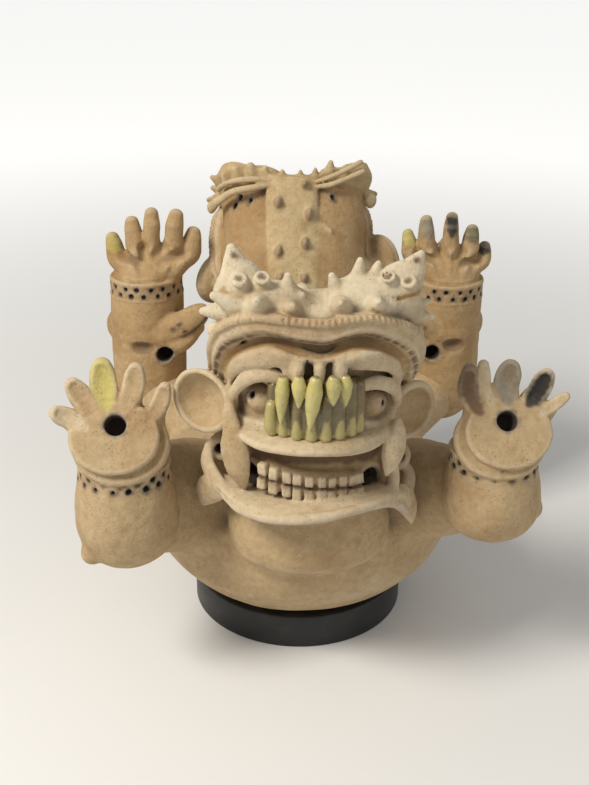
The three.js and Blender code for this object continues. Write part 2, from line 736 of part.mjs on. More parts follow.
for (const corner of corners) {
  const limb = limbOf(corner);
  const group = new THREE.Group();
  group.applyMatrix4(place[corner]);
  group.add(piece(`${corner}_limb`, limbShell(limb), limb === FRONT ? CLAY : TAN));
  group.add(piece(`${corner}_cuff`, cuff(limb), CLAY));
  group.add(piece(`${corner}_hand`, hand(limb), CLAY));
  CLAWS.forEach((shape, i) => {
    group.add(piece(`${corner}_claw_${i + 1}`, claw(limb, shape), clawLooks[corner][i]));
  });
  vessel.add(group);
}

for (const [end, turn] of Object.entries(ends)) {
  const group = new THREE.Group();
  group.rotation.z = turn;
  const clay = end === "front" ? CREAM : TAN;
  group.add(piece(`${end}_head`, headShell(), clay));
  group.add(piece(`${end}_brow_band`, band(), clay));
  group.add(piece(`${end}_crown`, crown(), clay));
  group.add(piece(`${end}_tooth_block`, toothBlock(), GLAZE));
  group.add(piece(`${end}_upper_jaw`, upperJaw(), clay));
  group.add(piece(`${end}_lower_jaw`, lowerJaw(), clay));
  for (const side of sides) {
    const name = `${end}_${side * Math.cos(turn) < 0 ? "left" : "right"}`;
    group.add(piece(`${name}_crest_head`, crestHead(side), clay));
    group.add(piece(`${name}_ear_spool`, spool(side), clay));
    group.add(piece(`${name}_tusk`, tusk(side), clay));
  }
  vessel.add(group);
}

const part = new THREE.Group();
part.add(vessel, piece("support_ring", supportRing(), BLACK));

export default part;
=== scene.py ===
import math
import bpy
import numpy as np
from mathutils import Matrix, Vector

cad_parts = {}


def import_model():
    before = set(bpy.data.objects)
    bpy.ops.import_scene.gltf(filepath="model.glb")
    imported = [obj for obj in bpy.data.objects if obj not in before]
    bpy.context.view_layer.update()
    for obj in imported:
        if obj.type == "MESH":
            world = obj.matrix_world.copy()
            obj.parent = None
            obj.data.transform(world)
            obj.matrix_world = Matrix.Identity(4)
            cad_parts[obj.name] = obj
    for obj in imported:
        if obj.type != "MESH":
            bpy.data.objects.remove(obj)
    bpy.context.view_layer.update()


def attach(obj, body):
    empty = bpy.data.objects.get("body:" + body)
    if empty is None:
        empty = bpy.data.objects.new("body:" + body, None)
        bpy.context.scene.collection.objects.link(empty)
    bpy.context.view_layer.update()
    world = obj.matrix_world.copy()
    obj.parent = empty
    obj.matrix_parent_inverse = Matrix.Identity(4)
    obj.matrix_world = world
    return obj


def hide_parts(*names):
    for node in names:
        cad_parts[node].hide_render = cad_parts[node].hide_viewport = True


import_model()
MM = 0.001
# Distance where nothing is near, in mm
FAR = 30.0
# Worn edges and painted shade in hollows: reach of a hollow in mm, contrast of edges, depth in mm at which
# a hollow is fully painted as shade
HOLLOW_REACH, EDGE_CONTRAST, SHADE_DEPTH = 4.5, 1.6, 2.2

# Camera: place, aim and focal length worked out from the ring's ellipse and the heads
CAMERA = {"place": (-0.0552, -0.8418, 0.56925), "heading": 3.4, "pitch": 24.0, "roll": 0.8,
          "pixels": 1090.0}
PHOTO_HEIGHT = 785

# Clays of the vessel, as linear colours; the olive tint and the dark tint in holes are painted shade, and
# brown and tan also serve as painted shade in some recesses
TINTS = {
    "buff": (0.46, 0.34, 0.19), "cream": (0.55, 0.445, 0.29), "pale": (0.60, 0.52, 0.37),
    "tan": (0.43, 0.295, 0.145), "straw": (0.52, 0.40, 0.22), "brown": (0.19, 0.12, 0.07),
    "ochre": (0.50, 0.44, 0.15), "shaded_olive": (0.13, 0.095, 0.035), "charred": (0.035, 0.031, 0.026),
    "grey": (0.29, 0.25, 0.185), "rust": (0.27, 0.175, 0.09), "dark": (0.06, 0.04, 0.028),
    "glaze": (0.38, 0.32, 0.11), "lilac": (0.42, 0.35, 0.28), "moss": (0.17, 0.16, 0.085),
}
TINT_NAMES = list(TINTS)


def vec(*numbers):
    return np.array(numbers, float)


def unit(direction):
    return direction / np.linalg.norm(direction)


def smooth_line(points, count):
    """Catmull-Rom curve through rows of numbers"""
    rows = np.array(points, float)
    ends = np.vstack([2 * rows[0] - rows[1], rows, 2 * rows[-1] - rows[-2]])
    out = []
    for t in np.linspace(0, len(rows) - 1, count):
        i = min(int(t), len(rows) - 2)
        s = t - i
        a, b, c, d = ends[i : i + 4]
        square, cube = 2 * a - 5 * b + 4 * c - d, 3 * b - a - 3 * c + d
        out.append(0.5 * (2 * b + (c - a) * s + square * s**2 + cube * s**3))
    return np.array(out)


# Shapes are lists of (lowest corner, highest corner, distance function of x, y, z)


def segment(a, b, wide, thick, face):
    """Rounded strap from a to b; wide, thick and face hold the values of its two ends"""
    along = b - a
    length2 = max(float(along @ along), 1e-6)
    reach = max(*wide, *thick)
    low, high = np.minimum(a, b) - reach, np.maximum(a, b) + reach

    def distance(x, y, z):
        p = [x - a[0], y - a[1], z - a[2]]
        h = np.clip((p[0] * along[0] + p[1] * along[1] + p[2] * along[2]) / length2, 0, 1)
        p = [p[i] - h * along[i] for i in range(3)]
        w = wide[0] + (wide[1] - wide[0]) * h
        t = thick[0] + (thick[1] - thick[0]) * h
        across = sum(p[i] * (face[0][i] + (face[1][i] - face[0][i]) * h) for i in range(3)) ** 2
        rest = np.maximum(p[0] ** 2 + p[1] ** 2 + p[2] ** 2 - across, 0)
        k0 = np.sqrt(rest / w**2 + across / t**2) + 1e-5
        k1 = np.sqrt(rest / w**4 + across / t**4) + 1e-5 / np.minimum(w, t)
        return k0 * (k0 - 1) / k1

    return low, high, distance


def strap(points, wide, thick=None, face=(0, 0, 1), steps=0):
    """Strap along points; wide, thick and face are one value or one for each point"""
    points = np.array(points, float)
    count = len(points)
    wide = np.broadcast_to(np.array(wide, float), (count,))
    thick = wide if thick is None else np.broadcast_to(np.array(thick, float), (count,))
    face = np.broadcast_to(np.array(face, float), (count, 3))
    table = np.column_stack([points, wide, thick, face])
    if steps:
        table = smooth_line(table, steps)
        table[:, 3:5] = np.maximum(table[:, 3:5], 0.3)
    table[:, 5:] /= np.linalg.norm(table[:, 5:], axis=1)[:, None]
    return [
        segment(p[:3], q[:3], (p[3], q[3]), (p[4], q[4]), (p[5:], q[5:])) for p, q in zip(table, table[1:])
    ]


def ball(centre, radii, axes=None):
    """Ellipsoid; axes are the directions of its three radii"""
    centre = np.array(centre, float)
    radii = np.broadcast_to(np.array(radii, float), (3,))
    axes = np.eye(3) if axes is None else np.array(axes, float)
    reach = radii.max()

    def distance(x, y, z):
        p = [x - centre[0], y - centre[1], z - centre[2]]
        q = [sum(p[j] * axes[i][j] for j in range(3)) for i in range(3)]
        k0 = np.sqrt(sum((q[i] / radii[i]) ** 2 for i in range(3))) + 1e-5
        k1 = np.sqrt(sum((q[i] / radii[i] ** 2) ** 2 for i in range(3))) + 1e-5 / radii.min()
        return k0 * (k0 - 1) / k1

    return [(centre - reach, centre + reach, distance)]


def block(centre, half, axes, edge):
    """Box with rounded edges"""
    centre, half, axes = np.array(centre, float), np.array(half, float), np.array(axes, float)
    reach = np.linalg.norm(half)

    def distance(x, y, z):
        p = [x - centre[0], y - centre[1], z - centre[2]]
        q = [np.abs(sum(p[j] * axes[i][j] for j in range(3))) - half[i] + edge for i in range(3)]
        outside = np.sqrt(sum(np.maximum(c, 0) ** 2 for c in q))
        return outside + np.minimum(np.maximum(np.maximum(q[0], q[1]), q[2]), 0) - edge

    return [(centre - reach, centre + reach, distance)]


def plate(centre, radii, half, edge, axes):
    """Flat oval with a rounded edge; axes are the directions of its radii and of its thickness"""
    centre, axes = np.array(centre, float), np.array(axes, float)
    reach = max(*radii, half)

    def distance(x, y, z):
        p = [x - centre[0], y - centre[1], z - centre[2]]
        q = [sum(p[j] * axes[i][j] for j in range(3)) for i in range(3)]
        side = (np.sqrt((q[0] / radii[0]) ** 2 + (q[1] / radii[1]) ** 2) - 1) * min(radii) + edge
        level = np.abs(q[2]) - half + edge
        outside = np.sqrt(np.maximum(side, 0) ** 2 + np.maximum(level, 0) ** 2)
        return outside + np.minimum(np.maximum(side, level), 0) - edge

    return [(centre - reach, centre + reach, distance)]


def hoop(centre, axis, radius, thick):
    """Ring of round section"""
    centre, axis = np.array(centre, float), unit(np.array(axis, float))
    reach = radius + thick

    def distance(x, y, z):
        p = [x - centre[0], y - centre[1], z - centre[2]]
        up = sum(p[i] * axis[i] for i in range(3))
        out = np.sqrt(np.maximum(sum(c**2 for c in p) - up**2, 0)) - radius
        return np.sqrt(out**2 + up**2) - thick

    return [(centre - reach, centre + reach, distance)]


def tower(levels, low, high):
    """Upright form with oval sections: rows of height, middle x and y, half widths in x and y"""
    table = smooth_line(levels, 90)
    table = table[np.argsort(table[:, 0])]
    reach = [table[:, 3].max(), table[:, 4].max()]
    corner = vec(table[:, 1].min() - reach[0], table[:, 2].min() - reach[1], low)
    other = vec(table[:, 1].max() + reach[0], table[:, 2].max() + reach[1], high)

    def distance(x, y, z):
        cx, cy, a, b = (np.interp(z, table[:, 0], table[:, i]) for i in range(1, 5))
        k0 = np.sqrt(((x - cx) / a) ** 2 + ((y - cy) / b) ** 2) + 1e-5
        k1 = np.sqrt(((x - cx) / a**2) ** 2 + ((y - cy) / b**2) ** 2) + 1e-5 / np.minimum(a, b)
        side = k0 * (k0 - 1) / k1
        cap = np.maximum(low - z, z - high)
        return np.maximum(side, cap)

    return [(corner, other, distance)]


def turned(outline, low, high):
    """Round form about the Z axis: rows of height and radius"""
    return tower([(z, 0, 0, r, r) for z, r in outline], low, high)


def lattice(size, shape, step, seed):
    """Smooth random values between -1 and 1 over a grid, varying over the given size"""
    random = np.random.default_rng(seed)
    cells = [max(2, int(n * step / size) + 3) for n in shape]
    values = random.uniform(-1, 1, cells)
    for axis, n in enumerate(shape):
        at = np.arange(n) * step / size
        low = np.floor(at).astype(int)
        share = at - low
        share = share * share * (3 - 2 * share)
        first, second = np.take(values, low, axis), np.take(values, low + 1, axis)
        shaped = share.reshape([-1 if i == axis else 1 for i in range(3)])
        values = first * (1 - shaped) + second * shaped
    return values.astype(np.float32)


def blurred(values, reach):
    """Box average over 2 * reach + 1 cells each way"""
    for axis in range(3):
        padded = np.pad(values, [(reach + 1, reach) if i == axis else (0, 0) for i in range(3)], "edge")
        total = np.cumsum(padded, axis, dtype=np.float32)
        n = values.shape[axis]
        width = 2 * reach + 1
        values = (np.take(total, range(width, n + width), axis) - np.take(total, range(n), axis)) / width
    return values


class Clay:
    """Lump of clay: distances to its surface in mm on a grid, negative inside"""

    def __init__(self, low, high, step):
        self.low = np.array(low, float)
        self.step = step
        shape = np.ceil((np.array(high) - self.low) / step).astype(int) + 1
        self.axes = [self.low[i] + step * np.arange(shape[i]) for i in range(3)]
        self.field = np.full(shape, FAR, np.float32)
        self.tint = np.zeros(shape, np.uint8)

    def window(self, low, high, margin):
        first = np.floor((low - margin - self.low) / self.step).astype(int)
        last = np.ceil((high + margin - self.low) / self.step).astype(int) + 1
        first = np.clip(first, 0, self.field.shape)
        last = np.clip(last, first, self.field.shape)
        return tuple(slice(a, b) for a, b in zip(first, last))

    def sample(self, shape, margin):
        """Distance to a shape over the window around it"""
        low = np.min([part[0] for part in shape], axis=0)
        high = np.max([part[1] for part in shape], axis=0)
        whole = self.window(low, high, margin)
        values = np.full([s.stop - s.start for s in whole], FAR, np.float32)
        for part_low, part_high, distance in shape:
            part = self.window(part_low, part_high, margin)
            if min(s.stop - s.start for s in part) < 1:
                continue
            x, y, z = (
                self.axes[i][part[i]].reshape([-1 if i == j else 1 for j in range(3)]).astype(np.float32)
                for i in range(3)
            )
            inner = tuple(slice(p.start - w.start, p.stop - w.start) for p, w in zip(part, whole))
            values[inner] = np.minimum(values[inner], distance(x, y, z))
        return whole, values

    def add(self, shape, tint=None, blend=2.0):
        where, new = self.sample(shape, blend + 3 * self.step)
        old = self.field[where]
        if tint is not None:
            self.tint[where][new < old] = TINT_NAMES.index(tint)
        near = np.maximum(blend - np.abs(new - old), 0) / max(blend, 1e-6)
        self.field[where] = np.minimum(old, new) - near**2 * blend / 4

    def cut(self, shape, tint=None, blend=0.8):
        where, new = self.sample(shape, blend + 3 * self.step)
        old = self.field[where]
        if tint is not None:
            self.tint[where][-new > old - 1.5] = TINT_NAMES.index(tint)
        near = np.maximum(blend - np.abs(new + old), 0) / max(blend, 1e-6)
        self.field[where] = np.maximum(old, -new) + near**2 * blend / 4

    def paint(self, shape, tint):
        where, new = self.sample(shape, 2 * self.step)
        self.tint[where][new < 0] = TINT_NAMES.index(tint)

    def uneven(self, size, height, seed):
        self.field += height * lattice(size, self.field.shape, self.step, seed)

    def skin(self):
        """Surface as points, four-sided faces, tint colours and shares of worn edge and of painted shade in
        hollows
        """
        field = self.field
        # No clay at the edge of the grid
        field[[0, -1]] = field[:, [0, -1]] = field[:, :, [0, -1]] = 5.0
        inside = field < 0
        size = np.array(field.shape)
        cells, places, quads = [], [], []
        for axis in range(3):
            a = tuple(slice(0, -1) if i == axis else slice(None) for i in range(3))
            b = tuple(slice(1, None) if i == axis else slice(None) for i in range(3))
            at = np.argwhere(inside[a] != inside[b])
            step = np.eye(3, dtype=int)[axis]
            first = field[tuple(at.T)]
            second = field[tuple((at + step).T)]
            place = at + step * (first / (first - second))[:, None]
            others = [i for i in range(3) if i != axis]
            corners = []
            for u, v in ((0, 0), (1, 0), (1, 1), (0, 1)):
                cell = at.copy()
                cell[:, others[0]] -= u
                cell[:, others[1]] -= v
                number = np.ravel_multi_index(cell.T, size, mode="clip")
                corners.append(number)
                cells.append(number)
                places.append(place)
            flip = (first < 0) == (axis == 1)
            quad = np.array(corners).T
            quad[flip] = quad[flip][:, ::-1]
            quads.append(quad)
        cells, places, quads = np.concatenate(cells), np.concatenate(places), np.concatenate(quads)
        used, index = np.unique(cells, return_inverse=True)
        count = np.bincount(index)
        points = np.column_stack([np.bincount(index, places[:, i]) / count for i in range(3)])
        faces = np.searchsorted(used, quads)
        near = tuple(np.clip(np.rint(points).astype(int), 0, size - 1).T)
        colours = np.array([TINTS[name] for name in TINT_NAMES])[self.tint[near]]
        for _ in range(3):
            total, hits = np.zeros_like(colours), np.zeros(len(points))
            for i in range(4):
                after = colours[faces[:, (i + 1) % 4]]
                sums = [np.bincount(faces[:, i], after[:, c], len(points)) for c in range(3)]
                total += np.column_stack(sums)
                hits += np.bincount(faces[:, i], minlength=len(points))
            colours = 0.5 * colours + 0.5 * total / np.maximum(hits, 1)[:, None]
        clipped = np.clip(field, -6, 6)
        fine = blurred(blurred(clipped, 1), 1)
        wide = max(2, round(HOLLOW_REACH / self.step))
        broad = blurred(blurred(clipped, wide), wide)
        edge = np.clip(0.5 + read_between(fine, points) * EDGE_CONTRAST / self.step, 0, 1)
        # Share of painted shade: how deep a point lies in a broad hollow
        shaded_hollow = np.clip(-read_between(broad, points) / SHADE_DEPTH, 0, 1)
        return self.low + points * self.step, faces, colours, edge, shaded_hollow


def read_between(values, points):
    """Values of a grid at points between its cells"""
    low = np.clip(points.astype(int), 0, np.array(values.shape) - 2)
    share = points - low
    total = np.zeros(len(points))
    for i in range(8):
        corner = np.array([i & 1, i >> 1 & 1, i >> 2])
        weight = np.prod(np.where(corner, share, 1 - share), axis=1)
        total += weight * values[tuple((low + corner).T)]
    return total


def placed(name, data):
    made = bpy.data.objects.new(name, data)
    bpy.context.scene.collection.objects.link(made)
    return made


def mesh_from(name, points, faces):
    mesh = bpy.data.meshes.new(name)
    sides = faces.shape[1]
    mesh.vertices.add(len(points))
    mesh.vertices.foreach_set("co", (points * MM).astype(np.float32).ravel())
    mesh.loops.add(faces.size)
    mesh.loops.foreach_set("vertex_index", faces.astype(np.int32).ravel())
    mesh.polygons.add(len(faces))
    mesh.polygons.foreach_set("loop_start", np.arange(0, faces.size, sides, dtype=np.int32))
    mesh.polygons.foreach_set("use_smooth", np.ones(len(faces), bool))
    mesh.update(calc_edges=True)
    mesh.validate()
    return mesh


def colour_layer(mesh, name, values):
    layer = mesh.attributes.new(name, "FLOAT_COLOR", "POINT")
    layer.data.foreach_set("color", values.astype(np.float32).ravel())


def piece(name, skin, material, nodes, sides=(1, 1)):
    """Object from a clay skin that stands for CAD nodes; sides mirror it in X and Y"""
    points, faces, colours, edge, shaded_hollow = skin
    points = points * vec(*sides, 1)
    if sides[0] * sides[1] < 0:
        faces = faces[:, ::-1]
    mesh = mesh_from(name, points, faces)
    colour_layer(mesh, "tint", np.column_stack([colours, np.ones(len(points))]))
    # Form layer: share of worn edge and of painted shade in hollows
    colour_layer(mesh, "form", np.column_stack([edge, shaded_hollow, np.zeros((len(points), 1)),
                                                np.ones(len(points))]))
    mesh.materials.append(material)
    made = placed(name, mesh)
    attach(made, "vessel")
    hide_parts(*nodes)


# Heads: tube sections as height, distance of the middle from the vessel's axis, half widths
HEAD = np.array([
    (150, 112, 57, 48), (166, 112, 58, 49), (222, 112, 63, 53), (262, 114, 64, 53), (318, 141, 65, 32.5),
    (360, 141, 65, 32.5),
], float)
# Top of the crown: height of its middle, fall to the front, rise to the sides, half widths
CROWN = {"middle": 333.0, "front": -8.0, "sides": 9.0, "wide": 66, "deep": 33.5}
# Crest heads as foot, apex and two eyes; back is the drop of the crown's rear edge, low_front that of its
# front spikes, spools the rise of the ear spools and lift the rise of the head's back
HEADS = {
    "front": {
        "sides": (1, 1), "seed": 5, "slot": "clay_cream", "base": "buff", "tint": "pale", "back": -15,
        "low_front": 0, "spools": 0, "lift": 0,
        "crests": (((-50, -160, 340), (-57, -151, 365), ((-52, -168, 349), (-37, -167, 350))),
                   ((54, -158, 338), (69, -149, 360), ((45, -165, 350), (59, -165, 346)))),
    },
    # The rear head's base is tinted tan, darker than the front head's buff, as painted shade
    "rear": {
        "sides": (-1, -1), "seed": 15, "slot": "clay_tan", "base": "tan", "tint": "straw", "back": -6,
        "low_front": 12, "spools": 13, "lift": 28,
        "crests": (((-50, -162, 328), (-56, -158, 345), ((-52, -170, 336), (-37, -169, 337))),
                   ((54, -160, 328), (62, -156, 343), ((45, -167, 337), (59, -167, 335)))),
    },
}


def head_levels(lowest, highest, grow=0.0):
    """Sections of the head's tube, as a tower takes them"""
    return [(z, 0, -out, a + grow, b + grow) for z, out, a, b in HEAD if lowest < z < highest]


def on_head(turn, height, proud=0.0):
    """Point on a head's side: 0 degrees is its front, positive towards +X"""
    out, a, b = (np.interp(height, HEAD[:, 0], HEAD[:, i]) for i in (1, 2, 3))
    angle = math.radians(turn)
    return vec((a + proud) * math.sin(angle), -out - (b + proud) * math.cos(angle), height)


def outward(turn):
    """Level direction away from a head at a turn"""
    return unit(vec(math.sin(math.radians(turn)), -math.cos(math.radians(turn)), 0))


def spread(sizes, count):
    """Sizes given at even spaces, as count values"""
    if sizes is None:
        return None
    sizes = np.atleast_1d(sizes)
    return np.interp(np.linspace(0, 1, count), np.linspace(0, 1, len(sizes)), sizes)


def along_head(rows, wide, thick=None, steps=24, flat=False):
    """Strap over the head through rows of turn, height and proud; flat straps lie level"""
    route = smooth_line(rows, steps)
    points = [on_head(*row) for row in route]
    faces = [(0, 0, 1) if flat else outward(row[0]) for row in route]
    return strap(points, spread(wide, steps), spread(thick, steps), faces)


def facing(rows, wide, thick, turn, steps=22):
    """Strap over the head whose flat side looks towards one turn"""
    points = np.array([on_head(*row) for row in rows])
    return strap(points, wide, thick, outward(turn), steps)


def spike(base, way, radius, length, tip):
    """Blunt cone on the clay"""
    way = unit(vec(*way))
    return strap([base - 0.3 * length * way, base + (length - tip) * way], [1.12 * radius, tip])


def features(clay):
    """Brows, eyes and nose under the overhang of the band"""
    for side in (-1, 1):
        clay.add(along_head([(side * 62, 262, 0), (side * 66, 240, 2), (side * 58, 222, 2)], [5, 8, 5],
                            [3, 4, 3], 10), blend=5)
    brows = ([(-73, 258, 0), (-61, 280, 3), (-47, 294, 5), (-34, 301, 6), (-22, 303, 6.5), (-12, 302, 8),
              (-5, 301, 9)],
             [(70, 262, -1), (61, 279, 1), (50, 291, 3), (36, 299, 5), (25, 302, 6.5), (14, 303, 8),
              (6, 303, 9)])
    for brow in brows:
        clay.add(along_head(brow, [4, 5.5, 6.2, 6.2, 6.2, 6], [3, 4, 4.6, 4.8, 5, 5]), "cream", blend=3)
    for side, rise in ((-1, 0), (1, -3)):
        rows = [(side * 66, 266 + rise, 1), (side * 52, 287 + rise, 5), (side * 36, 297 + rise, 7),
                (side * 20, 300 + rise, 7.5)]
        clay.add(along_head(rows, [5, 8, 9, 8], [3, 4, 4.5, 4.5], 18), "cream", blend=3)
    for turn, height, wide in ((-39, 261, 15), (42, 256, 14.5)):
        clay.cut(ball(on_head(turn, height, 4), (wide, 12, 12)), "buff", blend=3)
        clay.add(ball(on_head(turn, height - 3, -6.5), (12, 12, 11)), "buff", blend=1.5)
    # Pupil holes, tinted dark as painted shade
    for turn, height in ((-40.5, 262), (44, 254.5)):
        clay.cut(strap([on_head(turn, height, -3), on_head(turn, height, 12)], 1.9), "dark", blend=1)
    lids = (([(-62, 236, 2), (-57, 250, 4), (-52, 263, 6), (-42.5, 276, 7.5), (-31.5, 283.5, 8),
              (-21.5, 282, 7), (-15, 274, 4)],
             [2.6, 3.6, 4.4, 5, 5.2, 4.6, 3]),
            ([(64, 232, 2), (61, 245, 4), (56, 258, 6), (46, 268.5, 7.5), (35.5, 274.5, 8), (27, 274, 7),
              (21, 268, 4)],
             [2.6, 3.4, 4.2, 4.8, 5, 4.4, 3]),
            ([(-58, 243, 1), (-48, 240, 2.5), (-34, 241, 2.5), (-24, 244, 1)], [2, 3, 3, 2]),
            ([(26, 244, 1), (36, 239, 2.5), (48, 236, 2.5), (60, 238, 1)], [2, 3, 3, 2]))
    for rows, size in lids:
        clay.add(along_head(rows, size, 3.6), "cream", blend=1.6)
    # Nose: broad top that splits into three ribs beside two slots
    clay.add(along_head([(-20, 301.5, 7), (0, 302, 8.5), (18, 301.5, 7)], [6, 6.5, 6], [5, 5.5, 5], 12),
             "cream", blend=3)
    for top, low in ((-9.5, -10.5), (0, 0), (10, 10)):
        size = 4 if top == 0 else 5
        clay.add(along_head([(top, 300, 10), (low, 291, 13), (low, 283, 15)], [size, size, 3], [4, 5, 4],
                            10), "cream", blend=1.6)
    clay.add(along_head([(-24, 300, 7), (-17, 296, 9), (-15, 286, 11)], [5, 5.5, 3], [4, 4, 3], 10),
             "cream", blend=3)
    clay.add(along_head([(13, 299, 12), (21, 301, 14), (32, 300.5, 15)], [4, 4.2, 0.8], [2.6, 2.6, 0.8],
                        12), "cream", blend=1)
    # Nostril slots, tinted dark as painted shade
    for turn in (-5.2, 5.4):
        rows = [(turn * 1.1, 299, 16), (turn, 291, 17), (turn * 0.9, 282, 18)]
        clay.cut(along_head(rows, [0.5, 1.3, 1.9], [7, 8, 8], 8), "dark", blend=0.6)


def brow_band(clay):
    """Notched roll, rim and dashed seam over the brow, hollow below tinted tan as painted shade"""
    roll = [(-96, 252, 3), (-85, 263, 8), (-77, 277, 10), (-72, 293, 11), (-64.5, 308, 11),
            (-54.5, 317, 11), (-45, 322.5, 11), (-33, 326.5, 11), (-23, 326.5, 11), (-13.5, 325.5, 11),
            (-2.5, 324.5, 11), (5, 324.5, 11), (12.5, 326, 11), (21, 326.5, 11), (29.5, 325.5, 11),
            (40, 321.5, 11), (53, 314, 11.5), (67, 301, 12.5), (76, 287, 13), (82, 273, 12), (88, 262, 9),
            (96, 252, 3)]
    drop = [0, 3, 6, 8] + [7.2] * 3 + [6.6, 7.2, 9, 10.2, 10.2, 9, 7.2] + [7] * 4 + [8, 6, 3, 0]
    inner = [(t * 0.94, z - d, p - 1) for (t, z, p), d in zip(roll, drop)]
    backing = [(t * 0.97, z - 0.5 * d - 1, p - 5) for (t, z, p), d in zip(roll, drop)]
    sizes = [3, 6, 8, 8, 8, 8, 8, 6, 3]
    clay.add(along_head(backing, sizes, [3, 5, 6, 6, 6, 6, 6, 5, 3], 56), "cream", blend=1.5)
    seam = [(t * 0.92, z - d - 5.6, p - 4) for (t, z, p), d in zip(roll, drop)][2:-2]
    clay.add(along_head(seam, [2, 3.4, 3.4, 3.4, 2], [2, 3.2, 3.2, 3.2, 2], 48), "cream", blend=1.2)
    # Channel under the seam, tinted tan as painted shade
    shaded_hollow = [(t * 0.86, z - d - 10.5, p - 1) for (t, z, p), d in zip(roll, drop)][3:-3]
    clay.cut(along_head(shaded_hollow, [2, 4, 4.4, 4.4, 4.4, 4, 2], [4, 7.5, 8.5, 8.5, 8.5, 7.5, 4], 44), "tan",
             blend=2)
    for side in (-1, 1):
        rows = [(side * turn, height, 3.5)
                for turn, height in ((56, 308), (65, 297), (73, 283), (79, 268), (83, 256))]
        clay.add(along_head(rows, 8, 4, 14), "tan", blend=3)
    clay.add(along_head(roll, [2.2, 3.2, 3.4, 3.4, 3.4, 3.2, 2.2], steps=72), "cream", blend=0.8)
    clay.add(along_head(inner, [1.6, 2.5, 2.7, 2.7, 2.7, 2.5, 1.6], steps=72), "cream", blend=0.8)
    route = smooth_line(roll, 600)
    pieces = np.linalg.norm(np.diff([on_head(*row) for row in route], axis=0), axis=1)
    lengths = np.concatenate([[0], np.cumsum(pieces)])
    notches = 76
    for i in range(notches):
        turn, height, proud = route[np.searchsorted(lengths, (i + 0.5) / notches * lengths[-1])]
        way = outward(turn)
        root = on_head(turn, height, proud)
        lip = root + 3.4 * way
        notch = [root + vec(0, 0, 4.4), lip + vec(0, 0, 0.5), lip - vec(0, 0, 2)]
        clay.cut(strap(notch, 0.75), "buff", blend=0.5)
    route = smooth_line(seam, 120)
    for i in range(3, 118, 4):
        stitch = [on_head(*(route[i + n] + vec(0, 0, 3.2))) for n in (-1, 1)]
        clay.cut(strap(stitch, 0.8), "brown", blend=0.5)


